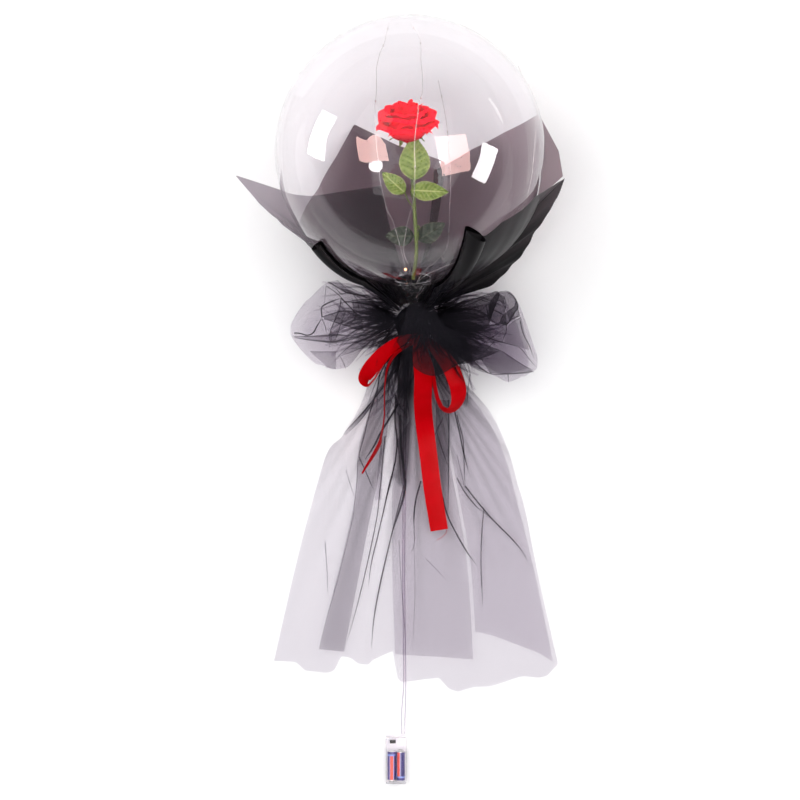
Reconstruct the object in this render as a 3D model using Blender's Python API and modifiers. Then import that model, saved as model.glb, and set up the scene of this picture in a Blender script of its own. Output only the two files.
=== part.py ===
"""Light-up balloon bouquet: a clear balloon in a cup of dark film, with a tulle bow and skirt,
a satin ribbon, two lead wires and a case of two cells, lying on its back on a floor.

Metres, +Z up. The origin is on the floor under the balloon's centre, +Y runs from the tie
to the balloon's crown, and the bouquet's front faces +Z.
"""
import math

import bmesh
import bpy
import numpy as np
from mathutils import Matrix, Vector

NAME = "light_up_balloon_bouquet"
MM = 0.001

# Clearance between pieces that touch
GAP = 0.0003

# Balloon: a clear ball that closes into a short neck, and the tie that shuts it
BALLOON_RADIUS = 0.216
NECK_LENGTH = 0.044
NECK_ROOT_RADIUS = 0.032
NECK_END_RADIUS = 0.007
NECK_STOP = 0.004
NECK_WAIST = ((0.3, 0.42), (0.65, 0.8))
BALL_ROWS = 16
BALL_STEPS = 32
AXIS_DROP = math.radians(20.4)
AXIS_TURN = math.radians(1.64)

# Wrapping film, in layers that keep clear of each other
FILM_THICKNESS = 0.0008
FILM_CLEARANCE = 0.0034
FILM_STEP = 0.004
FLAT_DEPTH = 0.005
GATHER_RADIUS = 0.012
GATHER_STEP = 0.009
FILM_SPACING = 0.19
FILM_CROWDING = 1.25
FILM_ROWS = 9

# Gathered tulle round the tie
KNOT_LENGTH = 0.060
KNOT_RADIUS = 0.032
KNOT_FOLDS = 9
KNOT_FOLD_DEPTH = 0.05
KNOT_BLUNTNESS = 0.8
KNOT_SIDES = 27
KNOT_ROWS = 8
BOW_FOLDS = 6
BOW_FOLD_DEPTH = 0.035
BOW_FOLD_TURN = 0.5
BOW_SIDES = 18
TULLE_THICKNESS = 0.0008
FLAP_BULGE = 0.014
FLAP_COLUMNS = 8
FLAP_ROWS = 5

# Skirt: how it drops from the knot to the floor, and its folds
SKIRT_TOP_DROP = 0.008
SKIRT_START = 0.006
SKIRT_FALL = 0.120
SKIRT_STEP = 0.007
FOLD_ANGLE = math.radians(14.0)
FOLD_SPREAD = 0.4
FOLD_CREST = -0.017
FOLD_HIGH = 0.009
FOLD_LOW = 0.006
FOLD_FADE = 0.35
SKIRT_ROWS = 12

# Satin ribbon
RIBBON_WIDTH = 0.030
RIBBON_THICKNESS = 0.001
RIBBON_LIFT = 0.0062
RIBBON_KNOT = Vector((0.024, 0.020, 0.014))
RIBBON_KNOT_PLACE = Vector((0.004, -0.004, 0.0))
RIBBON_ROWS_A_STATION = 3

# Lead wires and the case of two cells at their end
WIRE_DIAMETER = 0.0018
WIRE_POINTS = 33
CASE_ACROSS = -0.0311
CASE_DOWN = 0.7091
CASE_SIZE = Vector((0.035, 0.080, 0.019))
CASE_WALL = 0.0015
CASE_ROUND = 0.002
COVER_ROUND = 0.0005
CELL_DIAMETER = 0.0145
CELL_LENGTH = 0.0495
CELL_NUB_DIAMETER = 0.0055
CELL_NUB_LENGTH = 0.001
CELL_PITCH = 0.0152
CELL_END_ROOM = 0.0035
CELL_SIDES = 20
GLAND_DIAMETER = 0.0036
SWITCH_NUB = 0.0032
SWITCH_PLATE = 0.0052
SWITCH_PLATE_THICKNESS = 0.0012
SWITCH_RISE = 0.0012
SWITCH_TRAVEL = 0.0025
SWITCH_FROM_CORNER = Vector((0.0105, 0.0085, 0.0))

# Steps of a smooth curve between two of its points
CURVE_STEPS = 12

# Where the balloon, the tie, the skirt's root and the case are
BALLOON_CENTRE = Vector((0.0, 0.0,
    BALLOON_RADIUS + FILM_CLEARANCE + FILM_STEP + FILM_THICKNESS / 2 - FLAT_DEPTH))
AXIS = Vector((math.sin(AXIS_TURN) * math.cos(AXIS_DROP),
    -math.cos(AXIS_TURN) * math.cos(AXIS_DROP), -math.sin(AXIS_DROP)))
TIE = BALLOON_CENTRE + AXIS * (BALLOON_RADIUS + NECK_LENGTH)
ROOT = TIE + AXIS * (KNOT_LENGTH + 2 * GAP)
CASE_CENTRE = Vector((ROOT.x + CASE_ACROSS, ROOT.y - CASE_DOWN, 0.0))

# Outer edges of the film, as shares of the balloon's radius from its centre.
# UNDER and OVER mean that the edge lies against the ball, on its floor side or its front.
UNDER, OVER = "under", "over"
FILM_LEFT = [(-0.216, -0.141, UNDER), (-0.514, -0.201, UNDER), (-0.768, -0.264, UNDER),
    (-0.971, -0.262, UNDER), (-1.313, -0.147, -0.226), (-1.128, -0.365, -0.152),
    (-0.950, -0.536, -0.010), (-0.800, -0.640, OVER), (-0.647, -0.720, OVER)]
FILM_BACK_LEFT = [(-0.834, -0.505, UNDER), (-0.710, -0.202, UNDER), (-0.575, 0.063, UNDER),
    (-0.438, 0.344, -1.02), (-0.098, 0.179, -1.02), (0.076, 0.124, -1.02), (0.281, 0.043, UNDER)]
FILM_BACK_RIGHT = [(0.194, -0.027, UNDER), (0.483, 0.124, UNDER), (0.737, 0.233, UNDER),
    (0.967, 0.306, -0.189), (1.113, 0.022, -0.143), (1.145, -0.161, -0.170)]
FILM_FRONT_RIGHT = [(0.212, -0.857, OVER), (0.392, -0.637, OVER), (0.530, -0.671, OVER),
    (0.652, -0.569, OVER), (0.902, -0.367, OVER), (1.152, -0.187, -0.073),
    (1.106, -0.321, -0.143), (0.916, -0.627, -0.328), (0.810, -0.793, -0.444),
    (0.608, -0.971, -0.536)]

# Puffs of the bow, section by section outwards: distance across, the edge towards the balloon
# and the edge towards the skirt, all in millimetres from the tie, then the section's middle
# height and half height as shares of the tie's height
BOW_LEFT = [(-34, -14, -42, 0.90, 0.12), (-45, -1, -46, 0.88, 0.20),
    (-59, 8, -54, 0.80, 0.33), (-79, 22, -64, 0.70, 0.48), (-111, 39, -98, 0.58, 0.60),
    (-147, 42, -100, 0.56, 0.60), (-178, 15, -86, 0.55, 0.57), (-197, -7, -62, 0.55, 0.40),
    (-206, -26, -46, 0.54, 0.18)]
BOW_RIGHT = [(34, -12, -48, 0.91, 0.13), (44, -4, -62, 0.90, 0.23),
    (57, 3, -70, 0.81, 0.35), (78, 10, -86, 0.70, 0.48), (103, 18, -105, 0.58, 0.60),
    (130, 25, -111, 0.56, 0.60), (159, 30, -125, 0.56, 0.60), (178, 3, -120, 0.55, 0.58),
    (201, -64, -107, 0.54, 0.37), (207, -82, -97, 0.52, 0.15)]
BOW_TIP = 3

# Skirt outlines: across and down from the root, in millimetres
SKIRT_LEFT_EDGE = [(-28, 6), (-50, 17), (-65, 40), (-77, 65), (-94, 109), (-122, 157),
    (-147, 182), (-168, 247), (-202, 377), (-240, 542)]
SKIRT_RIGHT_EDGE = [(22, 6), (39, 17), (59, 43), (84, 67), (105, 88), (132, 122), (158, 177),
    (176, 239), (190, 288), (214, 411), (245, 546)]
SKIRT_HEM = [(-240, 542), (-202, 544), (-187, 558), (-149, 562), (-137, 558), (-125, 534),
    (-110, 536), (-96, 547), (-79, 549), (-72, 541), (-37, 524), (-29, 570), (-23, 578),
    (18, 573), (42, 571), (59, 590), (75, 595), (100, 586), (129, 585), (161, 575), (185, 568),
    (210, 571), (226, 568), (245, 546)]
STREAMER_LEFT_EDGE = [(-38, 16), (-64, 77), (-77, 116), (-96, 186), (-106, 288), (-163, 520)]
STREAMER_RIGHT_EDGE = [(-25, 19), (-42, 77), (-48, 116), (-54, 165), (-57, 206), (-76, 300),
    (-120, 525)]
STREAMER_HEM = [(-163, 520), (-120, 525)]
FRONT_LEFT_EDGE = [(-21, 16), (-31, 97), (-37, 206), (-38, 370), (-33, 528)]
FRONT_RIGHT_EDGE = [(17, 16), (43, 97), (61, 206), (88, 365), (100, 537)]
FRONT_HEM = [(-33, 528), (100, 537)]
SIDE_LEFT_EDGE = [(25, 19), (48, 97), (66, 206), (94, 365), (104, 491)]
SIDE_RIGHT_EDGE = [(35, 22), (80, 72), (119, 123), (151, 186), (183, 301), (209, 411),
    (236, 542)]
SIDE_HEM = [(104, 491), (129, 496), (182, 516), (214, 528), (236, 542)]

# Layers of the skirt: edges, hem, how many layers lie under it, and the columns of its grid
SKIRTS = {
    "skirt_back": (SKIRT_LEFT_EDGE, SKIRT_RIGHT_EDGE, SKIRT_HEM, 0, 30),
    "skirt_streamer": (STREAMER_LEFT_EDGE, STREAMER_RIGHT_EDGE, STREAMER_HEM, 1, 4),
    "skirt_front": (FRONT_LEFT_EDGE, FRONT_RIGHT_EDGE, FRONT_HEM, 2, 10),
    "skirt_side": (SIDE_LEFT_EDGE, SIDE_RIGHT_EDGE, SIDE_HEM, 1, 11),
}

# Flap of tulle over the ribbon: its line on the knot and its hem, across and down from the
# root in millimetres, and height as a share of the tie's
FLAP_TOP = [(-18, -30, 1.40), (11, -32, 1.42), (40, -33, 1.40)]
FLAP_HEM = [(-30, 2, 1.32), (0, 44, 1.12), (33, 57, 1.10), (66, 41, 1.14),
    (94, 28, 1.24)]

# Ribbon strips out of its knot: across and down from the root in millimetres, height as a
# share of the tie's, how far the width leans out of the level in degrees, and the share of the
# full width. ON_KNOT is the height of the ribbon's knot. Where the tulle knot or the skirt
# reaches higher than the height given, the strip lies on them.
ON_KNOT = None
RIBBON_STRIPS = {
    "long_tail": [(4, -4, ON_KNOT, 0, 0.4), (8, 14, 0.98, 0, 0.8), (12, 36, 0, 0, 1),
        (14, 60, 0, 0, 1), (14, 110, 0, 0, 1), (23, 185, 0, 0, 1), (31, 250, 0, 0, 1),
        (42, 317, 0, 0, 1)],
    "right_loop": [(5, -5, ON_KNOT, 40, 0.35), (22, 2, 1.14, 45, 0.6), (41, 20, 1.06, 55, 0.9),
        (63, 47, 0.90, 62, 1), (80, 79, 0.78, 70, 1), (76, 106, 0.70, 76, 1),
        (56, 118, 0.66, 78, 1), (39, 104, 0.70, 78, 1), (33, 74, 0.82, 78, 1),
        (28, 44, 0.90, 78, 0.9), (18, 15, 1.0, 76, 0.5), (7, 0, 1.06, 60, 0.3)],
    "left_loop": [(3, -5, ON_KNOT, 40, 0.35), (-14, -4, 1.15, 45, 0.6), (-34, 4, 1.10, 52, 0.8),
        (-58, 20, 1.0, 64, 1), (-80, 36, 0.88, 78, 1), (-93, 54, 0.79, 84, 1),
        (-84, 70, 0.73, 86, 1), (-68, 60, 0.71, 84, 1), (-53, 37, 0.76, 80, 0.9),
        (-36, 18, 0.85, 78, 0.6), (-14, 8, 0.98, 70, 0.4), (1, 2, 1.06, 60, 0.3)],
    "short_tail": [(4, -2, 1.10, 60, 0.3), (-14, 8, 0.93, 70, 0.5), (-33, 22, 0.78, 78, 0.8),
        (-46, 46, 0.57, 84, 1), (-52, 85, 0, 86, 1), (-53, 122, 0, 86, 1), (-59, 155, 0, 80, 1),
        (-64, 176, 0, 70, 1), (-91, 219, 0, 66, 1)],
}

# Lead wires: places chosen along the floor, across and down from the root in millimetres, and
# height as a share of the tie's. Where that is lower than the floor allows, the wire lies on it.
WIRE_LEFT = [(-12.6, 3, 0.655), (-13.6, 18, 0.61), (-15.1, 45, 0.406), (-17.1, 85, 0.148),
    (-18.1, 130, 0.025), (-18.8, 200, 0), (-19.6, 300, 0), (-20.0, 400, 0), (-19.0, 490, 0),
    (-18.2, 550, 0), (-18.4, 588, 0), (-20.0, 606, 0), (-21.8, 628, 0.010), (-22.0, 650, 0.028),
    (-22.0, 666, 0.039)]
WIRE_RIGHT = [(-8.6, 3, 0.655), (-9.6, 18, 0.61), (-11.1, 45, 0.406), (-13.1, 85, 0.148),
    (-14.1, 130, 0.025), (-14.8, 200, 0), (-16.0, 300, 0), (-16.8, 400, 0), (-15.6, 490, 0),
    (-15.0, 550, 0), (-14.8, 588, 0), (-15.0, 606, 0), (-15.6, 628, 0.010), (-16.6, 650, 0.028),
    (-16.6, 666, 0.039)]


def clear_scene():
    """Start from an empty scene."""
    for obj in list(bpy.data.objects):
        bpy.data.objects.remove(obj, do_unlink=True)


def collection(name):
    """A collection of this name in the scene."""
    group = bpy.data.collections.new(name)
    bpy.context.scene.collection.children.link(group)
    return group


def material(name, colour, roughness, metallic=0.0, alpha=1.0):
    """A plain Principled material."""
    made = bpy.data.materials.new(name)
    made.use_nodes = True
    shader = made.node_tree.nodes["Principled BSDF"]
    shader.inputs["Base Color"].default_value = (*colour, 1.0)
    shader.inputs["Roughness"].default_value = roughness
    shader.inputs["Metallic"].default_value = metallic
    shader.inputs["Alpha"].default_value = alpha
    return made


def add_object(name, mesh, look, group):
    """A named object for a mesh, in a collection and a material."""
    obj = bpy.data.objects.new(name, mesh)
    obj.data.materials.append(look)
    group.objects.link(obj)
    return obj


def smooth(obj, angle=40.0):
    """Round shading, with sharp edges kept."""
    obj.data.shade_smooth()
    obj.data.set_sharp_from_angle(angle=math.radians(angle))


def along(points, count):
    """This many places, evenly spaced along straight runs through the points."""
    points = np.array(points, float)
    steps = np.linalg.norm(np.diff(points, axis=0), axis=1)
    reach = np.concatenate([[0.0], np.cumsum(steps)])
    places = np.linspace(0.0, reach[-1], count)
    return np.stack([np.interp(places, reach, points[:, i]) for i in range(points.shape[1])], 1)


def curve_through(points, count):
    """This many places along one smooth curve through the points."""
    points = np.array(points, float)
    ends = [2 * points[0] - points[1]], [2 * points[-1] - points[-2]]
    full = np.concatenate([ends[0], points, ends[1]])
    fine = []
    for i in range(len(points) - 1):
        a, b, c, d = full[i:i + 4]
        for t in np.linspace(0.0, 1.0, CURVE_STEPS, endpoint=False):
            fine.append(0.5 * (2 * b + (c - a) * t + (2 * a - 5 * b + 4 * c - d) * t ** 2
                + (3 * b - 3 * c + d - a) * t ** 3))
    fine.append(points[-1])
    return along(fine, count)


def refined(points, spacing):
    """The points, with more between them so that none is further apart than spacing."""
    rows = []
    for a, b in zip(points[:-1], points[1:]):
        parts = max(1, math.ceil((b - a).length / spacing))
        rows += [a.lerp(b, i / parts) for i in range(parts)]
    return rows + [points[-1]]


def grid_mesh(name, grid):
    """An open surface from rows of points."""
    rows, columns = len(grid), len(grid[0])
    corners = [tuple(point) for row in grid for point in row]
    faces = []
    for r in range(rows - 1):
        for c in range(columns - 1):
            first = r * columns + c
            faces.append((first, first + columns, first + columns + 1, first + 1))
    mesh = bpy.data.meshes.new(name)
    mesh.from_pydata(corners, [], faces)
    return mesh


def cloth(name, grid, thickness, look, group):
    """A thin closed sheet on rows of points."""
    obj = add_object(name, grid_mesh(name, grid), look, group)
    shell = obj.modifiers.new("Thickness", "SOLIDIFY")
    shell.thickness = thickness
    shell.offset = 0.0
    smooth(obj, 60.0)
    return obj


def loft_mesh(name, rings, start=None, end=None):
    """A closed body through rings of points, with a point or a flat face at each end."""
    sides = len(rings[0])
    corners = [tuple(point) for ring in rings for point in ring]
    faces = []
    for r in range(len(rings) - 1):
        for c in range(sides):
            d = (c + 1) % sides
            faces.append((r * sides + c, r * sides + d, (r + 1) * sides + d,
                (r + 1) * sides + c))
    last = (len(rings) - 1) * sides
    if start is None:
        faces.append(tuple(reversed(range(sides))))
    else:
        corners.append(tuple(start))
        tip = len(corners) - 1
        faces += [(tip, (c + 1) % sides, c) for c in range(sides)]
    if end is None:
        faces.append(tuple(last + c for c in range(sides)))
    else:
        corners.append(tuple(end))
        tip = len(corners) - 1
        faces += [(last + c, last + (c + 1) % sides, tip) for c in range(sides)]
    mesh = bpy.data.meshes.new(name)
    mesh.from_pydata(corners, [], faces)
    face_outwards(mesh)
    return mesh


def face_outwards(mesh):
    """Turn a closed mesh's faces to point out."""
    work = bmesh.new()
    work.from_mesh(mesh)
    bmesh.ops.recalc_face_normals(work, faces=work.faces)
    work.to_mesh(mesh)
    work.free()


def baked(obj):
    """The object with its modifiers applied."""
    bpy.context.view_layer.update()
    graph = bpy.context.evaluated_depsgraph_get()
    mesh = bpy.data.meshes.new_from_object(obj.evaluated_get(graph))
    obj.modifiers.clear()
    obj.data = mesh
    return obj


def cut(obj, cutter, operation="DIFFERENCE"):
    """Cut an object with another, or join the other to it, and keep the result."""
    boolean = obj.modifiers.new("Cut", "BOOLEAN")
    boolean.operation = operation
    boolean.object = cutter
    baked(obj)
    cutter.hide_render = True
    cutter.display_type = "WIRE"


def block(name, low, high, look, group, rounding=0.0):
    """A box between two corners, with rounded edges if asked."""
    work = bmesh.new()
    bmesh.ops.create_cube(work, size=1.0)
    size = high - low
    bmesh.ops.scale(work, vec=size, verts=work.verts)
    bmesh.ops.translate(work, vec=(low + high) / 2, verts=work.verts)
    mesh = bpy.data.meshes.new(name)
    work.to_mesh(mesh)
    work.free()
    obj = add_object(name, mesh, look, group)
    if rounding:
        edge = obj.modifiers.new("Rounding", "BEVEL")
        edge.width = rounding
        edge.segments = 2
        baked(obj)
    return obj


def cylinder(name, start, end, radius, look, group, sides=12):
    """A round bar between two points."""
    span = end - start
    work = bmesh.new()
    bmesh.ops.create_cone(work, cap_ends=True, segments=sides, radius1=radius, radius2=radius,
        depth=span.length)
    mesh = bpy.data.meshes.new(name)
    work.to_mesh(mesh)
    work.free()
    turn = Vector((0, 0, 1)).rotation_difference(span).to_matrix().to_4x4()
    mesh.transform(Matrix.Translation((start + end) / 2) @ turn)
    return add_object(name, mesh, look, group)


def make_balloon(group, look):
    """The ball and its neck, turned about the axis that runs down to the tie."""
    neck_start = math.asin(NECK_ROOT_RADIUS / BALLOON_RADIUS)
    profile = []
    for i in range(BALL_ROWS + 1):
        angle = math.pi - (math.pi - neck_start) * i / BALL_ROWS
        profile.append((BALLOON_RADIUS * math.sin(angle), BALLOON_RADIUS * math.cos(angle)))
    neck_end = BALLOON_RADIUS + NECK_LENGTH - NECK_STOP
    root = BALLOON_RADIUS * math.cos(neck_start)
    for share, narrowing in NECK_WAIST:
        radius = NECK_ROOT_RADIUS + (NECK_END_RADIUS - NECK_ROOT_RADIUS) * narrowing
        profile.append((radius, root + (neck_end - root) * share))
    profile.append((NECK_END_RADIUS, neck_end))
    profile.append((0.0, neck_end))
    profile[0] = (0.0, -BALLOON_RADIUS)
    mesh = bpy.data.meshes.new("balloon")
    mesh.from_pydata([(r, 0.0, t) for r, t in reversed(profile)], [],
        [(i, i + 1) for i in range(len(profile) - 1)])
    obj = add_object("balloon", mesh, look, group)
    turned = obj.modifiers.new("Turned", "SCREW")
    turned.steps = BALL_STEPS
    turned.render_steps = BALL_STEPS
    turned.use_merge_vertices = True
    turned.merge_threshold = 0.00005
    turned.use_normal_calculate = True
    obj.location = BALLOON_CENTRE
    obj.rotation_euler = Vector((0, 0, 1)).rotation_difference(AXIS).to_euler()
    return obj


def film_edge(edge, layer):
    """The film's outer edge in metres, at its layer's distance from the ball."""
    reach = (BALLOON_RADIUS + FILM_CLEARANCE + layer * FILM_STEP) / BALLOON_RADIUS
    points = []
    for x, y, z in edge:
        if z in (UNDER, OVER):
            depth = math.sqrt(max(0.0, reach ** 2 - x ** 2 - y ** 2))
            z = -depth if z == UNDER else depth
        points.append(BALLOON_CENTRE + BALLOON_RADIUS * Vector((x, y, z)))
    return refined(points, BALLOON_RADIUS * FILM_SPACING)


def make_film(name, edge, layer, group, look):
    """A sheet of film gathered at the tie, pressed against the ball and flaring to its edge."""
    nearest = BALLOON_RADIUS + FILM_CLEARANCE + layer * FILM_STEP
    gather = GATHER_RADIUS + layer * GATHER_STEP
    grid = []
    for outer in film_edge(edge, layer):
        side = (outer - TIE) - AXIS * (outer - TIE).dot(AXIS)
        start = TIE + side.normalized() * gather
        column = []
        for i in range(FILM_ROWS + 1):
            point = start.lerp(outer, (i / FILM_ROWS) ** FILM_CROWDING)
            away = point - BALLOON_CENTRE
            if away.length < nearest:
                point = BALLOON_CENTRE + away.normalized() * nearest
            point.z = max(point.z, FILM_THICKNESS / 2)
            column.append(point)
        grid.append(column)
    return cloth(name, grid, FILM_THICKNESS, look, group)


def make_knot(group, look):
    """The gathered tulle round the tie, folded lengthways."""
    half = KNOT_LENGTH / 2
    middle = TIE + AXIS * (half + GAP)
    turn = Vector((0, 0, 1)).rotation_difference(AXIS).to_matrix()
    rings = []
    for i in range(1, KNOT_ROWS):
        lean = math.pi * i / KNOT_ROWS
        ring = []
        for k in range(KNOT_SIDES):
            angle = 2 * math.pi * k / KNOT_SIDES
            fold = 1 + KNOT_FOLD_DEPTH * (math.cos(KNOT_FOLDS * angle) - 1)
            radius = KNOT_RADIUS * fold * math.sin(lean) ** KNOT_BLUNTNESS
            ring.append(middle + turn @ Vector((radius * math.cos(angle),
                radius * math.sin(angle), -half * math.cos(lean))))
        rings.append(ring)
    start = middle - AXIS * half
    end = middle + AXIS * half
    obj = add_object("tulle_knot", loft_mesh("tulle_knot", rings, start, end), look, group)
    smooth(obj, 60.0)
    return obj


def make_puff(name, sections, group, look):
    """One puff of the bow, lofted outwards from the knot, with soft folds along it."""
    rings = []
    for number, (across, upper, lower, height, half) in enumerate(sections):
        ring = []
        for k in range(BOW_SIDES):
            angle = 2 * math.pi * k / BOW_SIDES
            turn = BOW_FOLDS * angle + BOW_FOLD_TURN * number
            fold = 1 + BOW_FOLD_DEPTH * (math.cos(turn) - 1)
            y = (upper + lower) / 2 * MM + (upper - lower) / 2 * MM * fold * math.cos(angle)
            z = TIE.z * (height + half * fold * math.sin(angle))
            ring.append(Vector((TIE.x + across * MM, TIE.y + y, max(z, 0.0))))
        rings.append(ring)
    across, upper, lower, height, half = sections[-1]
    tip = Vector((TIE.x + (across + math.copysign(BOW_TIP, across)) * MM,
        TIE.y + (upper + lower) / 2 * MM, TIE.z * height))
    obj = add_object(name, loft_mesh(name, rings, None, tip), look, group)
    smooth(obj, 60.0)
    return obj


def eased(value):
    """A soft step from 0 to 1."""
    value = min(1.0, max(0.0, value))
    return value * value * (3 - 2 * value)


def skirt_height(across, down, layer):
    """Height of the middle of a skirt layer, across and down from the root in metres."""
    reach = math.hypot(across, down)
    drop = 1 - eased((reach - SKIRT_START - layer * SKIRT_STEP) / SKIRT_FALL)
    tallest = ROOT.z - SKIRT_TOP_DROP
    size = FOLD_LOW + (FOLD_HIGH - FOLD_LOW) * (1 - eased((reach - SKIRT_FALL) / FOLD_FADE))
    size *= eased(reach / SKIRT_FALL)
    wide = FOLD_ANGLE * (1 + FOLD_SPREAD * (1 - eased((reach - SKIRT_FALL) / SKIRT_FALL)))
    turn = (math.atan2(across, down) - math.atan2(FOLD_CREST, reach)) / wide
    fold = size * (0.5 + 0.5 * math.cos(2 * math.pi * turn))
    return TULLE_THICKNESS / 2 + tallest * drop + fold + layer * SKIRT_STEP


def skirt_point(across, down, layer):
    """A point of a skirt layer."""
    return Vector((ROOT.x + across, ROOT.y - down, skirt_height(across, down, layer)))


def make_skirt(name, left, right, hem, layer, columns, group, look):
    """One layer of the skirt, between its two edges, from the knot to its hem."""
    first = curve_through(np.array(left) * MM, SKIRT_ROWS + 1)
    last = curve_through(np.array(right) * MM, SKIRT_ROWS + 1)
    hem = np.array(hem) * MM
    grid = []
    for r in range(SKIRT_ROWS + 1):
        row = []
        for c in range(columns + 1):
            share = c / columns
            x, y = first[r] * (1 - share) + last[r] * share
            edge_x, edge_y = first[-1] * (1 - share) + last[-1] * share
            hem_y = np.interp(edge_x, hem[:, 0], hem[:, 1])
            y += (hem_y - edge_y) * (r / SKIRT_ROWS) ** 3
            row.append(skirt_point(x, y, layer))
        grid.append(row)
    return cloth(name, grid, TULLE_THICKNESS, look, group)


def make_flap(group, look):
    """The short flap of tulle that hangs from the knot over the ribbon."""
    top = along(FLAP_TOP, FLAP_COLUMNS + 1)
    hem = along(FLAP_HEM, FLAP_COLUMNS + 1)
    grid = []
    for r in range(FLAP_ROWS + 1):
        share = r / FLAP_ROWS
        row = []
        for a, b in zip(top, hem):
            across, down, height = a * (1 - share) + b * share
            bulge = FLAP_BULGE * math.sin(math.pi * share)
            row.append(Vector((ROOT.x + across * MM, ROOT.y - down * MM,
                TIE.z * height + bulge)))
        grid.append(row)
    return cloth("bow_flap", grid, TULLE_THICKNESS, look, group)


def knot_height(x, y):
    """Height of the knot's front at a place in plan, or 0 beside it."""
    middle = TIE + AXIS * (KNOT_LENGTH / 2 + GAP)
    from_middle = Vector((x - middle.x, y - middle.y, 0.0))
    up = Vector((0, 0, 1))
    tall = (KNOT_RADIUS / (KNOT_LENGTH / 2)) ** 2 - 1
    a = 1 + tall * AXIS.z ** 2
    b = 2 * tall * AXIS.z * from_middle.dot(AXIS)
    c = from_middle.length_squared + tall * from_middle.dot(AXIS) ** 2 - KNOT_RADIUS ** 2
    inside = b * b - 4 * a * c
    return middle.z + (math.sqrt(inside) - b) / (2 * a) if inside > 0 else 0.0


def resting_height(across, down, lean, width):
    """Height of the ribbon's middle where it lies on the knot or the skirt."""
    half = width / 2
    spread = half * math.cos(lean)
    highest = 0.0
    for share in np.linspace(-1.0, 1.0, 7):
        for x, y in ((across + spread * share, down), (across, down + spread * share)):
            highest = max(highest, skirt_height(x, y, 2), knot_height(ROOT.x + x, ROOT.y - y))
    return highest + RIBBON_LIFT + half * math.sin(lean)


def ribbon_strip(name, line, look, group):
    """A strip of satin along a line of stations out of the ribbon's knot."""
    middle = ribbon_knot_middle()
    stations = []
    for across, down, height, lean, share in line:
        z = middle.z if height is ON_KNOT else TIE.z * height
        stations.append((across * MM, down * MM, z, math.radians(lean), share))
    rows = RIBBON_ROWS_A_STATION * (len(line) - 1) + 1
    path = []
    for x, y, z, lean, share in curve_through(stations, rows):
        rest = resting_height(x, y, lean, share * RIBBON_WIDTH)
        path.append((ROOT.x + x, ROOT.y - y, max(z, rest), lean, share))
    path = np.array(path)
    grid = []
    side = None
    for i, (x, y, z, lean, share) in enumerate(path):
        before, after = path[max(i - 1, 0)][:3], path[min(i + 1, len(path) - 1)][:3]
        level = Vector(after - before).cross(Vector((0, 0, 1))).normalized()
        if side is not None and level.dot(side) < 0:
            level = -level
        side = level
        wide = level * math.cos(lean) + Vector((0, 0, 1)) * math.sin(lean)
        wide *= RIBBON_WIDTH * share / 2
        centre = Vector((x, y, z))
        grid.append([centre - wide, centre, centre + wide])
    return baked(cloth(name, grid, RIBBON_THICKNESS, look, group))


def ribbon_knot_middle():
    """The middle of the ribbon's own knot, on the tulle knot."""
    x, y = ROOT.x + RIBBON_KNOT_PLACE.x, ROOT.y - RIBBON_KNOT_PLACE.y
    around = [(x, y), (x - RIBBON_KNOT.x / 2, y), (x + RIBBON_KNOT.x / 2, y),
        (x, y + RIBBON_KNOT.y / 2)]
    return Vector((x, y, max(knot_height(*place) for place in around) + RIBBON_KNOT.z / 2))


def make_ribbon(group, tools, look):
    """One satin ribbon: its knot, joined to a long tail, two loops and a short tail."""
    work = bmesh.new()
    bmesh.ops.create_uvsphere(work, u_segments=12, v_segments=8, radius=0.5)
    bmesh.ops.scale(work, vec=RIBBON_KNOT, verts=work.verts)
    bmesh.ops.translate(work, vec=ribbon_knot_middle(), verts=work.verts)
    mesh = bpy.data.meshes.new("satin_ribbon")
    work.to_mesh(mesh)
    work.free()
    obj = add_object("satin_ribbon", mesh, look, group)
    for name, line in RIBBON_STRIPS.items():
        cut(obj, ribbon_strip(name, line, look, tools), "UNION")
    return obj


def wire_route(route):
    """The places of a lead wire's route, on the floor or above it."""
    floor = WIRE_DIAMETER / 2 + GAP
    return [Vector((ROOT.x + across * MM, ROOT.y - down * MM, max(height * TIE.z, floor)))
        for across, down, height in route]


def make_wire(name, route, group, look):
    """One lead wire, as a tube along a smooth curve through its route."""
    line = bpy.data.curves.new(name, "CURVE")
    line.dimensions = "3D"
    line.bevel_depth = WIRE_DIAMETER / 2
    line.bevel_resolution = 2
    line.use_fill_caps = True
    spline = line.splines.new("POLY")
    points = curve_through(wire_route(route), WIRE_POINTS)
    spline.points.add(len(points) - 1)
    for place, point in zip(points, spline.points):
        point.co = (*place, 1.0)
    return add_object(name, line, look, group)


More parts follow.
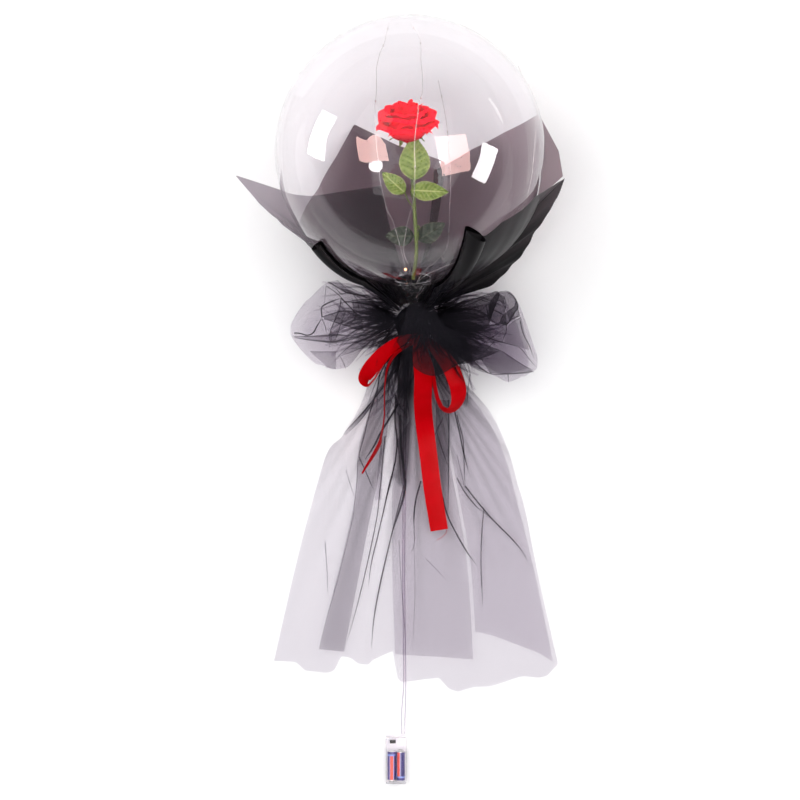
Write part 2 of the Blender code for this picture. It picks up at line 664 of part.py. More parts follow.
def make_case(group, tools, look):
    """The cells' clear case: an open tray with a switch slot and two glands, and its cover."""
    half = Vector((CASE_SIZE.x / 2, CASE_SIZE.y / 2, 0.0))
    low = CASE_CENTRE - half + Vector((0, 0, CASE_WALL + GAP))
    high = CASE_CENTRE + half + Vector((0, 0, CASE_SIZE.z))
    below = Vector((0, 0, 2 * CASE_ROUND))
    tray = block("battery_case", low - below, high, look, group, CASE_ROUND)
    foot = block("case_foot", low - half - 2 * below, low + half * 3, look, tools)
    cut(tray, foot)
    wall = Vector((CASE_WALL, CASE_WALL, 0.0))
    top = Vector((0, 0, CASE_WALL))
    hollow = block("case_hollow", low + wall - below, high - wall - top, look, tools)
    cut(tray, hollow)
    for route in (WIRE_LEFT, WIRE_RIGHT):
        end = wire_route(route)[-1]
        outer = Vector((end.x, end.y - GAP, end.z))
        inner = Vector((end.x, high.y - CASE_WALL / 2, end.z))
        gland = cylinder("case_gland", inner, outer, GLAND_DIAMETER / 2, look, tools)
        cut(tray, gland, "UNION")
    middle = switch_middle()
    room = Vector((SWITCH_NUB / 2 + GAP, SWITCH_NUB / 2 + GAP, CASE_WALL))
    slot = block("switch_slot", middle - room,
        middle + room + Vector((SWITCH_TRAVEL, 0, 0)), look, tools)
    cut(tray, slot)
    cover = block("battery_cover", CASE_CENTRE - half,
        CASE_CENTRE + half + Vector((0, 0, CASE_WALL)), look, group)
    edge = cover.modifiers.new("Rounding", "BEVEL")
    edge.width = COVER_ROUND
    edge.segments = 1
    return tray, cover


def switch_middle():
    """The middle of the switch's nub, in the case's front wall."""
    corner = CASE_CENTRE + Vector((-CASE_SIZE.x / 2, CASE_SIZE.y / 2, CASE_SIZE.z))
    return corner + Vector((SWITCH_FROM_CORNER.x, -SWITCH_FROM_CORNER.y, -CASE_WALL / 2))


def make_switch(group, tools, look):
    """The slide switch: a nub in the case's slot on a wider plate behind it."""
    middle = switch_middle()
    nub = SWITCH_NUB / 2
    under = -CASE_WALL / 2 - GAP
    plate_low = middle + Vector((-SWITCH_PLATE / 2, -SWITCH_PLATE / 2,
        under - SWITCH_PLATE_THICKNESS))
    plate_high = middle + Vector((SWITCH_PLATE / 2, SWITCH_PLATE / 2, under))
    obj = block("switch_slider", plate_low, plate_high, look, group)
    stem = block("switch_nub", middle + Vector((-nub, -nub, under - SWITCH_PLATE_THICKNESS / 2)),
        middle + Vector((nub, nub, CASE_WALL / 2 + SWITCH_RISE)), look, tools)
    cut(obj, stem, "UNION")
    return obj


def make_cell(name, side, nub_end, group, tools, look):
    """One cell, with its nub at the end of the case that nub_end gives."""
    x = CASE_CENTRE.x + side * CELL_PITCH / 2
    z = CASE_WALL + GAP + CELL_DIAMETER / 2
    low = CASE_CENTRE.y - CASE_SIZE.y / 2 + CASE_WALL + CELL_END_ROOM
    start = Vector((x, low, z))
    end = Vector((x, low + CELL_LENGTH, z))
    obj = cylinder(name, start, end, CELL_DIAMETER / 2, look, group, CELL_SIDES)
    face = end if nub_end > 0 else start
    nub = cylinder(name + "_nub", face - Vector((0, nub_end * CELL_NUB_LENGTH, 0)),
        face + Vector((0, nub_end * CELL_NUB_LENGTH, 0)), CELL_NUB_DIAMETER / 2, look, tools)
    cut(obj, nub, "UNION")
    return obj


def main():
    """Build the whole bouquet."""
    clear_scene()
    group = collection(NAME)
    tools = collection("cutters")
    clear = material("clear_balloon_skin", (0.90, 0.88, 0.93), 0.05, alpha=0.25)
    film = material("dark_film", (0.03, 0.03, 0.035), 0.45)
    tulle = material("black_tulle", (0.08, 0.08, 0.09), 0.8)
    satin = material("red_satin", (0.75, 0.0, 0.02), 0.35)
    lead = material("clear_lead", (0.85, 0.82, 0.90), 0.3)
    shell = material("clear_plastic", (0.92, 0.90, 0.95), 0.1, alpha=0.4)
    cell = material("cell_sleeve", (0.16, 0.14, 0.30), 0.35)
    knob = material("black_plastic", (0.02, 0.02, 0.02), 0.5)

    make_balloon(group, clear)
    make_film("film_back_right", FILM_BACK_RIGHT, 0, group, film)
    make_film("film_back_left", FILM_BACK_LEFT, 1, group, film)
    make_film("film_left", FILM_LEFT, 2, group, film)
    make_film("film_front_right", FILM_FRONT_RIGHT, 2, group, film)
    make_knot(group, tulle)
    make_puff("bow_puff_left", BOW_LEFT, group, tulle)
    make_puff("bow_puff_right", BOW_RIGHT, group, tulle)
    make_flap(group, tulle)
    for name, (left, right, hem, layer, columns) in SKIRTS.items():
        make_skirt(name, left, right, hem, layer, columns, group, tulle)
    make_ribbon(group, tools, satin)
    make_wire("lead_wire_left", WIRE_LEFT, group, lead)
    make_wire("lead_wire_right", WIRE_RIGHT, group, lead)
    make_case(group, tools, shell)
    make_switch(group, tools, knob)
    make_cell("battery_cell_left", -1, 1, group, tools, cell)
    make_cell("battery_cell_right", 1, -1, group, tools, cell)


main()
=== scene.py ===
"""Looks for the light-up balloon bouquet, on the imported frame.

The bouquet lies on its back on a pale floor and the camera looks straight down on it.
Metres, +Z up. Lists of places that follow the picture give points of an 800 by 800 picture,
and spot() turns one into a place in the frame at a height.
"""
import itertools
import math

import bmesh
import bpy
import numpy as np
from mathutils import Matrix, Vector
from mathutils.bvhtree import BVHTree


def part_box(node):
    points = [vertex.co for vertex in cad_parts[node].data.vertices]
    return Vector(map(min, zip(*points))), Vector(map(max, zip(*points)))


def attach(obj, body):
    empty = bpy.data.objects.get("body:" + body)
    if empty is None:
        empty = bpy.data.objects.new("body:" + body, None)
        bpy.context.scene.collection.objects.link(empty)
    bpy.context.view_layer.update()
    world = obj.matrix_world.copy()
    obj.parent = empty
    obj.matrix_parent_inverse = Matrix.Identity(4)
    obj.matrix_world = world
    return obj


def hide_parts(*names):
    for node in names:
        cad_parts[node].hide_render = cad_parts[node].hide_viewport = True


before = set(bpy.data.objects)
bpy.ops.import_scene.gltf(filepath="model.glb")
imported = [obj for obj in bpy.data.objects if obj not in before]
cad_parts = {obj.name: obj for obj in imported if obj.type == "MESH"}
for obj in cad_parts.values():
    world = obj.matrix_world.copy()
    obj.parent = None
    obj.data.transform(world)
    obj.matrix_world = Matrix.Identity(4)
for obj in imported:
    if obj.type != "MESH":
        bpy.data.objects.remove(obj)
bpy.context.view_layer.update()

MM = 0.001
CURVE_STEPS = 12
BODY = "bouquet"

# Camera and picture
CAMERA = Vector((-0.016, -0.3968, 3.4))
PICTURE = 800
FLOOR_SCALE = 0.0017085
SENSOR = 36.0

# The same sizes as the solids
BALLOON_RADIUS = 0.216
BALLOON_CENTRE = Vector((0.0, 0.0, 0.2188))
NECK_LENGTH = 0.044
NECK_ROOT_RADIUS = 0.032
NECK_END_RADIUS = 0.007
NECK_STOP = 0.004
NECK_SHAPE = [(0.2, 0.25), (0.35, 0.48), (0.5, 0.66), (0.7, 0.84), (0.85, 0.94), (1.0, 1.0)]
NECK_RING_REACH = BALLOON_RADIUS * 0.985
NECK_RING_RADIUS = 0.0295
NECK_RING_HALF = 0.0016
SKIN_OUTSIDE = 0.0004
SKIN_INSIDE = 0.0008
CROWN_RADIUS = 0.00001
BALLOON_ROWS = 64
BALLOON_SIDES = 144
AXIS_DROP = math.radians(20.4)
AXIS_TURN = math.radians(1.64)
AXIS = Vector((math.sin(AXIS_TURN) * math.cos(AXIS_DROP),
    -math.cos(AXIS_TURN) * math.cos(AXIS_DROP), -math.sin(AXIS_DROP)))
UP = -AXIS
TIE = BALLOON_CENTRE + AXIS * (BALLOON_RADIUS + NECK_LENGTH)
KNOT_LENGTH = 0.060
KNOT_RADIUS = 0.032
KNOT_ROWS = 40
KNOT_SIDES = 180
PUFF_ROWS = 96
PUFF_SIDES = 150
GAP = 0.0003
ROOT = TIE + AXIS * (KNOT_LENGTH + 2 * GAP)
AXIS_FRAME = Vector((0, 0, 1)).rotation_difference(AXIS).to_matrix()
FILM_THICKNESS = 0.0008
FILM_CLEARANCE = 0.0014
FILM_STEP = 0.0016
GATHER_RADIUS = 0.012
GATHER_STEP = 0.009
FILM_CROWDING = 1.25

SKIRT_TOP_DROP = 0.008
SKIRT_START = 0.006
SKIRT_FALL = 0.120
SKIRT_STEP = 0.007
FOLD_ANGLE = math.radians(14.0)
FOLD_SPREAD = 0.4
FOLD_CREST = -0.017
FOLD_HIGH = 0.009
FOLD_LOW = 0.006
FOLD_FADE = 0.35

RIBBON_WIDTH = 0.030
RIBBON_LIFT = 0.0062
RIBBON_KNOT = Vector((0.024, 0.020, 0.014))
RIBBON_KNOT_PLACE = Vector((0.004, -0.004, 0.0))
RIBBON_CROWN = 0.0012
RIBBON_STEPS = 90
RIBBON_COLUMNS = 12
LOOSE_THREAD = [(447, 529, 0.024), (446, 533, 0.022), (442, 537, 0.021), (437, 540, 0.020)]
WIRE_DIAMETER = 0.0018
CELL_LENGTH = 0.0495
CELLS = ("battery_cell_left", "battery_cell_right")
CELL_PANEL, CELL_PALE, CELL_DARK = (0.62, 0.07, 0.04), (0.42, 0.50, 0.80), (0.055, 0.045, 0.17)
CELL_BLUE, CELL_TOP = (0.20, 0.28, 0.62), (0.06, 0.05, 0.19)
BEAD_SIZE = (0.0011, 0.0018, 0.0011)
LIT_SIZE = (0.0022, 0.0022, 0.0022)
LIT_PLACE = (405.5, 269.5, 0.150)
LIT = (1.0, 0.42, 0.22)
STRING_WIRE = 0.00032
SPRING_WIRE = 0.00032
STEM_RADIUS = 0.0030
STALK_RADIUS = 0.0011
SKY_STRENGTH = 0.32
CEILING_POWER = 420.0
KEY_POWER = 20.0
FLOOR_HALF = 30.0
NET_CELL = 0.0022
FOLD_WIDTH = 0.0013
NET_THREAD = 0.034
NET_TINT = (0.985, 0.962, 0.993)

# Folds laid on the net: heights over it, points along them and, for a strand, stops across
# its half width with their share of its darkness
FOLD_LIFT = 0.0016
FOLD_POINTS = 28
STRAND_CROWN = 0.0006
STRAND_STOPS = ((-1.0, 0.0), (-0.35, 1.0), (0.0, 1.0), (0.35, 1.0), (1.0, 0.0))
BAND_LIFT = 0.0010
BAND_POINTS = 40
BAND_STOPS = 12
BAND_EDGE = 0.0011
FAN_SEED = 7
FAN_LIFT = 0.0015
FAN_POINTS = 18
FAN_START = 14
FAN_SHIFT = 5
FAN_BEND = 0.22
FAN_WIDTH = (1.2, 5.0)
FAN_STRENGTH = (0.40, 0.90)

UNDER, OVER = "under", "over"
FILMS = {
    "film_back_right": (0, [(0.194, -0.027, UNDER), (0.483, 0.124, UNDER), (0.737, 0.233, UNDER),
        (0.967, 0.306, -0.189), (1.113, 0.022, -0.143), (1.145, -0.161, -0.170)]),
    "film_back_left": (1, [(-0.834, -0.505, UNDER), (-0.710, -0.202, UNDER),
        (-0.575, 0.063, UNDER), (-0.438, 0.344, -1.02), (-0.098, 0.179, -1.02),
        (0.076, 0.124, -1.02), (0.281, 0.043, UNDER)]),
    "film_left": (2, [(-0.216, -0.141, UNDER), (-0.514, -0.201, UNDER), (-0.768, -0.264, UNDER),
        (-0.971, -0.262, UNDER), (-1.313, -0.147, -0.226), (-1.128, -0.365, -0.152),
        (-0.950, -0.536, -0.010), (-0.800, -0.640, OVER), (-0.647, -0.720, OVER)]),
    "film_front_right": (2, [(0.392, -0.637, OVER),
        (0.530, -0.671, OVER), (0.652, -0.569, OVER), (0.902, -0.367, OVER),
        (1.152, -0.187, -0.073), (1.106, -0.321, -0.143), (0.916, -0.627, -0.328),
        (0.810, -0.793, -0.444), (0.608, -0.971, -0.536)]),
}
BOW_LEFT = [(-34, -14, -42, 0.90, 0.12), (-45, -1, -46, 0.88, 0.20),
    (-59, 8, -54, 0.80, 0.33), (-79, 22, -64, 0.70, 0.48), (-111, 39, -98, 0.58, 0.60),
    (-147, 42, -100, 0.56, 0.60), (-178, 15, -86, 0.55, 0.57), (-197, -7, -62, 0.55, 0.40),
    (-206, -26, -46, 0.54, 0.18)]
BOW_RIGHT = [(34, -12, -48, 0.91, 0.13), (44, -4, -62, 0.90, 0.23),
    (57, 3, -70, 0.81, 0.35), (78, 10, -86, 0.70, 0.48), (103, 18, -105, 0.58, 0.60),
    (130, 25, -111, 0.56, 0.60), (159, 30, -125, 0.56, 0.60), (178, 3, -120, 0.55, 0.58),
    (201, -64, -107, 0.54, 0.37), (207, -82, -97, 0.52, 0.15)]
SKIRT_LEFT_EDGE = [(-28, 6), (-50, 17), (-65, 40), (-77, 65), (-94, 109), (-122, 157),
    (-147, 182), (-168, 247), (-202, 377), (-240, 542)]
SKIRT_RIGHT_EDGE = [(22, 6), (39, 17), (59, 43), (84, 67), (105, 88), (132, 122), (158, 177),
    (176, 239), (190, 288), (214, 411), (245, 546)]
SKIRT_HEM = [(-240, 542), (-202, 544), (-187, 558), (-149, 562), (-137, 558), (-125, 534),
    (-110, 536), (-96, 547), (-79, 549), (-72, 541), (-37, 524), (-29, 570), (-23, 578),
    (18, 573), (42, 571), (59, 590), (75, 595), (100, 586), (129, 585), (161, 575), (185, 568),
    (210, 571), (226, 568), (245, 546)]
STREAMER_LEFT_EDGE = [(-38, 16), (-64, 77), (-77, 116), (-96, 186), (-106, 288), (-163, 520)]
STREAMER_RIGHT_EDGE = [(-25, 19), (-42, 77), (-48, 116), (-54, 165), (-57, 206), (-76, 300),
    (-120, 525)]
FRONT_LEFT_EDGE = [(-21, 16), (-31, 97), (-37, 206), (-38, 370), (-33, 528)]
FRONT_RIGHT_EDGE = [(17, 16), (43, 97), (61, 206), (88, 365), (100, 537)]
SIDE_LEFT_EDGE = [(25, 19), (48, 97), (66, 206), (94, 365), (104, 491)]
SIDE_RIGHT_EDGE = [(35, 22), (80, 72), (119, 123), (151, 186), (183, 301), (209, 411),
    (236, 542)]
SIDE_HEM = [(104, 491), (129, 496), (182, 516), (214, 528), (236, 542)]
FLAP_TOP = [(-18, -30, 1.40), (11, -32, 1.42), (40, -33, 1.40)]
FLAP_HEM = [(-30, 2, 1.32), (0, 44, 1.12), (33, 57, 1.10), (66, 41, 1.14), (94, 28, 1.24)]
FLAP_BULGE = 0.014

ON_KNOT = None
RIBBON_STRIPS = {
    "long_tail": [(4, -4, ON_KNOT, 0, 0.4), (8, 14, 0.98, 0, 0.8), (12, 36, 0, 0, 1),
        (14, 60, 0, 0, 1), (14, 110, 0, 0, 1), (23, 185, 0, 0, 1), (31, 250, 0, 0, 1),
        (42, 317, 0, 0, 1)],
    "right_loop": [(5, -5, ON_KNOT, 40, 0.35), (22, 2, 1.14, 36, 0.6), (41, 20, 1.06, 30, 0.9),
        (61, 47, 0.90, 24, 1), (72, 79, 0.78, 26, 1), (69, 102, 0.70, 50, 1),
        (56, 114, 0.66, 72, 1), (41, 104, 0.70, 78, 1), (33, 74, 0.82, 78, 1),
        (28, 44, 0.90, 78, 0.9), (18, 15, 1.0, 76, 0.5), (7, 0, 1.06, 60, 0.3)],
    "left_loop": [(3, -5, ON_KNOT, 40, 0.35), (-14, -4, 1.15, 42, 0.6), (-34, 6, 1.10, 40, 0.8),
        (-56, 25, 1.0, 34, 1), (-74, 45, 0.88, 34, 1), (-84, 62, 0.79, 50, 1),
        (-78, 72, 0.73, 80, 1), (-66, 60, 0.71, 84, 1), (-53, 37, 0.76, 80, 0.9),
        (-36, 18, 0.85, 78, 0.6), (-14, 8, 0.98, 70, 0.4), (1, 2, 1.06, 60, 0.3)],
    "short_tail": [(4, -2, 1.10, 60, 0.3), (-14, 8, 0.93, 70, 0.5), (-33, 22, 0.78, 78, 0.8),
        (-46, 46, 0.57, 84, 1), (-51, 85, 0, 87, 1), (-51, 122, 0, 87, 1), (-56, 155, 0, 84, 1),
        (-62, 176, 0, 76, 0.9), (-89, 221, 0, 70, 0.25)],
}
WIRE_ROUTES = {
    "lead_wire_left": [(-12.6, 3, 0.655), (-13.6, 18, 0.61), (-15.1, 45, 0.406),
        (-17.1, 85, 0.148), (-18.1, 130, 0.025), (-18.8, 200, 0), (-19.6, 300, 0),
        (-20.0, 400, 0), (-19.0, 490, 0), (-18.2, 550, 0), (-18.4, 588, 0), (-20.0, 606, 0),
        (-21.8, 628, 0.010), (-22.0, 650, 0.028), (-22.0, 666, 0.039)],
    "lead_wire_right": [(-8.6, 3, 0.655), (-9.6, 18, 0.61), (-11.1, 45, 0.406),
        (-13.1, 85, 0.148), (-14.1, 130, 0.025), (-14.8, 200, 0), (-16.0, 300, 0),
        (-16.8, 400, 0), (-15.6, 490, 0), (-15.0, 550, 0), (-14.8, 588, 0), (-15.0, 606, 0),
        (-15.6, 628, 0.010), (-16.6, 650, 0.028), (-16.6, 666, 0.039)],
}
WIRE_POINTS = 33


def spot(x, y, height=0.0):
    """The place in the frame of a picture point at a height above the floor."""
    scale = FLOOR_SCALE * (CAMERA.z - height) / CAMERA.z
    return Vector((CAMERA.x + (x - PICTURE / 2) * scale,
        CAMERA.y + (PICTURE / 2 - y) * scale, height))


def along(points, count):
    """This many places, evenly spaced along straight runs through the points."""
    points = np.array(points, float)
    steps = np.linalg.norm(np.diff(points, axis=0), axis=1)
    reach = np.concatenate([[0.0], np.cumsum(steps)])
    places = np.linspace(0.0, reach[-1], count)
    return np.stack([np.interp(places, reach, points[:, i]) for i in range(points.shape[1])], 1)


def curve_through(points, count):
    """This many places along one smooth curve through the points."""
    points = np.array(points, float)
    full = np.concatenate([[2 * points[0] - points[1]], points, [2 * points[-1] - points[-2]]])
    fine = []
    for i in range(len(points) - 1):
        a, b, c, d = full[i:i + 4]
        for t in np.linspace(0.0, 1.0, CURVE_STEPS, endpoint=False):
            fine.append(0.5 * (2 * b + (c - a) * t + (2 * a - 5 * b + 4 * c - d) * t ** 2
                + (3 * b - 3 * c + d - a) * t ** 3))
    fine.append(points[-1])
    return along(fine, count)


def eased(value):
    """A soft step from 0 to 1."""
    value = np.clip(value, 0.0, 1.0)
    return value * value * (3 - 2 * value)


def rough(points, scale, seed):
    """Smooth noise from -1 to 1 at each point, at a size in metres."""
    table = np.random.default_rng(int(seed) + 40).uniform(-1, 1, (32, 32, 32))
    place = np.asarray(points, float) / scale + seed * 3.7
    low = np.floor(place).astype(int)
    part = place - low
    part = part * part * (3 - 2 * part)
    total = np.zeros(place.shape[:-1])
    for corner in itertools.product((0, 1), repeat=3):
        index = (low + np.array(corner)) % 32
        weight = np.prod(np.where(np.array(corner) == 1, part, 1 - part), axis=-1)
        total += weight * table[index[..., 0], index[..., 1], index[..., 2]]
    return total


def near_line(points, line):
    """Each point's distance in plan from a bent line, and how far along the line it is, 0 to 1."""
    flat = np.asarray(points, float).reshape(-1, 3)[:, :2]
    line = np.array([tuple(p)[:2] for p in line])
    steps = np.linalg.norm(np.diff(line, axis=0), axis=1)
    reach = np.concatenate([[0.0], np.cumsum(steps)])
    best = np.full(len(flat), 1e9)
    share = np.zeros(len(flat))
    for i in range(len(line) - 1):
        way = line[i + 1] - line[i]
        t = np.clip(((flat - line[i]) @ way) / (way @ way), 0.0, 1.0)
        gap = np.linalg.norm(flat - (line[i] + t[:, None] * way), axis=1)
        closer = gap < best
        best[closer] = gap[closer]
        share[closer] = ((reach[i] + t * steps[i]) / reach[-1])[closer]
    shape = np.asarray(points).shape[:-1]
    return best.reshape(shape), share.reshape(shape)


def arc_lengths(grid):
    """Cloth coordinates in metres of each point of a grid, across and down."""
    across = np.linalg.norm(np.diff(grid, axis=1), axis=2)
    down = np.linalg.norm(np.diff(grid, axis=0), axis=2)
    u = np.concatenate([np.zeros((grid.shape[0], 1)), np.cumsum(across, axis=1)], axis=1)
    u -= u[:, -1:] / 2
    v = np.concatenate([np.zeros((1, grid.shape[1])), np.cumsum(down, axis=0)], axis=0)
    return np.stack([u, v], axis=2)


FLAT_SIZES = {}


def flat_size(grids):
    """Width and length of the cloth that grids of places take, end to end, and its area."""
    width, length, area = 0.0, 0.0, 0.0
    for grid in grids:
        cloth = arc_lengths(grid)
        width = max(width, 2 * float(cloth[:, -1, 0].max()))
        length += float(cloth[-1, :, 1].max())
        first = grid[1:, 1:] - grid[:-1, :-1]
        second = grid[1:, :-1] - grid[:-1, 1:]
        area += float(np.linalg.norm(np.cross(first, second), axis=2).sum()) / 2
    return width, length, area


def grid_faces(rows, columns, used, first):
    """The four corner numbers of each cell of a grid, the last column joined to the first."""
    r, c = np.meshgrid(np.arange(rows - 1) * used + first, np.arange(columns - 1),
        indexing="ij")
    d = (c + 1) % used
    return np.stack([r + c, r + used + c, r + used + d, r + d], axis=2).reshape(-1, 4).tolist()


def surface(name, grids, look, fields=None, closed=False):
    """A smooth mesh of one or more grids of points, with cloth coordinates and point values."""
    grids = [np.asarray(grid, float) for grid in grids]
    FLAT_SIZES[name] = flat_size(grids)
    last = -1 if closed else None
    corners, faces, places = [], [], []
    for grid in grids:
        used = grid[:, :last]
        faces += grid_faces(*grid.shape[:2], used.shape[1], len(corners))
        corners += used.reshape(-1, 3).tolist()
        cloth = arc_lengths(grid)
        places.append(np.stack([cloth[:-1, :-1], cloth[1:, :-1], cloth[1:, 1:],
            cloth[:-1, 1:]], axis=2).ravel())
    mesh = bpy.data.meshes.new(name)
    mesh.from_pydata(corners, [], faces)
    layer = mesh.uv_layers.new(name="cloth")
    layer.data.foreach_set("uv", np.concatenate(places))
    for key, items in (fields or {}).items():
        field = mesh.attributes.new(key, "FLOAT", "POINT")
        values = np.concatenate([np.asarray(item)[:, :last].ravel() for item in items])
        field.data.foreach_set("value", values.astype(np.float32))
    mesh.shade_smooth()
    return piece(name, mesh, look)


def patches(name, made, look, key="gather"):
    """One surface of many small grids, each made together with its point values."""
    grids, fields = zip(*made)
    return surface(name, grids, look, {key: fields})


def linked(name, data):
    """A new object in the scene."""
    obj = bpy.data.objects.new(name, data)
    bpy.context.scene.collection.objects.link(obj)
    return obj


def piece(name, data, look):
    """A named object that rides on the bouquet."""
    obj = linked(name, data)
    obj.data.materials.append(look)
    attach(obj, BODY)
    return obj


def tube(name, line, radius, look):
    """A round strand along a line of places."""
    curve = bpy.data.curves.new(name, "CURVE")
    curve.dimensions = "3D"
    curve.bevel_depth = radius
    curve.bevel_resolution = 2
    curve.use_fill_caps = True
    spline = curve.splines.new("POLY")
    spline.points.add(len(line) - 1)
    for place, point in zip(line, spline.points):
        point.co = (*place, 1.0)
    return piece(name, curve, look)


def round_axis(centre, radius, reach):
    """Places round the bouquet's axis: a radius for each row and side, a reach for each row."""
    angle = np.linspace(0.0, 2 * math.pi, radius.shape[1])[None, :]
    reach = np.broadcast_to(reach, radius.shape)
    local = np.stack([radius * np.cos(angle), radius * np.sin(angle), reach], axis=2)
    return np.array([[centre + AXIS_FRAME @ Vector(place) for place in row] for row in local])


def ball_grid(centre, size, lean, sides, crease=0.0):
    """A ball as rows of places, one at each lean from a pole, creased by a share."""
    lean = lean[:, None]
    angle = np.linspace(0.0, 2 * math.pi, sides + 1)[None, :]
    fold = 1 + crease * np.cos(5 * angle + 4 * lean)
    return np.stack([centre[0] + size[0] * np.sin(lean) * np.cos(angle) * fold,
        centre[1] + size[1] * np.cos(lean) * np.ones_like(angle),
        centre[2] + size[2] * np.sin(lean) * np.sin(angle) * fold], axis=2)


def on_ball(x, y, radius, face, rounds, step, least=0.0):
    """The place that shows at a picture point on a ball round the balloon's centre.

    The face is 1 for the near side and -1 for the far one. Each round moves the height by a
    step towards the ball, and the depth's square is never under the least.
    """
    height = BALLOON_CENTRE.z
    for _ in range(rounds):
        place = spot(x, y, height)
        flat = (place.x - BALLOON_CENTRE.x) ** 2 + (place.y - BALLOON_CENTRE.y) ** 2
        depth = math.sqrt(max(radius ** 2 - flat, least))
        height += step * (BALLOON_CENTRE.z + face * depth - height)
    return spot(x, y, height)


def tree_of(*objects):
    """A search tree of meshes, for finding the place that shows at a picture point."""
    corners, faces = [], []
    for obj in objects:
        first = len(corners)
        corners += [v.co.copy() for v in obj.data.vertices]
        faces += [[first + i for i in face.vertices] for face in obj.data.polygons]
    return BVHTree.FromPolygons(corners, faces)


def on_top(tree, points, lift):
    """Places on the surface at picture points, raised towards the camera."""
    places = []
    height = 0.05
    for x, y in points:
        way = (spot(x, y) - CAMERA).normalized()
        hit = tree.ray_cast(CAMERA, way)[0]
        if hit is not None:
            height = hit.z
        places.append(spot(x, y, height + lift))
    return np.array(places)


def band(tree, first, second, base, edges, fade):
    """A folded strip of net between two lines of picture points, darker along its edges."""
    first = curve_through(first, BAND_POINTS)
    second = curve_through(second, BAND_POINTS)
    width = float(np.median(np.linalg.norm(first - second, axis=1))) * FLOOR_SCALE
    line = min(0.25, BAND_EDGE / max(width, BAND_EDGE))
    inside = list(np.linspace(2 * line, 1 - 2 * line, BAND_STOPS))
    stops = [0.0, line] + inside + [1 - line, 1.0]
    dark = [edges[0], edges[0]] + [base] * len(inside) + [edges[1], edges[1]]
    grid = [on_top(tree, first * (1 - t) + second * t, BAND_LIFT) for t in stops]
    share = np.linspace(0.0, 1.0, BAND_POINTS)[None, :]
    return np.array(grid), np.array(dark)[:, None] * (1 - fade * eased((share - 0.5) / 0.5))


def strand(tree, line, width, strength, lift, count, ends):
    """A thin gathered fold of net along a line of picture points.

    The ends are the shares of the width at its first and last point, and it is full between.
    """
    middle = curve_through(line, count)
    way = np.gradient(middle, axis=0)
    way /= np.maximum(np.linalg.norm(way, axis=1), 1e-9)[:, None]
    side = np.stack([-way[:, 1], way[:, 0]], axis=1)
    share = np.linspace(0.0, 1.0, count)
    taper = ends[0] * (1 - share) + ends[1] * share + 0.9 * np.sin(math.pi * share)
    half = (width / FLOOR_SCALE / 2 * np.minimum(taper, 1.0))[:, None]
    grid, fields = [], []
    for t, dark in STRAND_STOPS:
        grid.append(on_top(tree, middle + side * half * t, lift + STRAND_CROWN * dark))
        fields.append(np.full(count, strength * dark))
    return np.array(grid), np.array(fields)


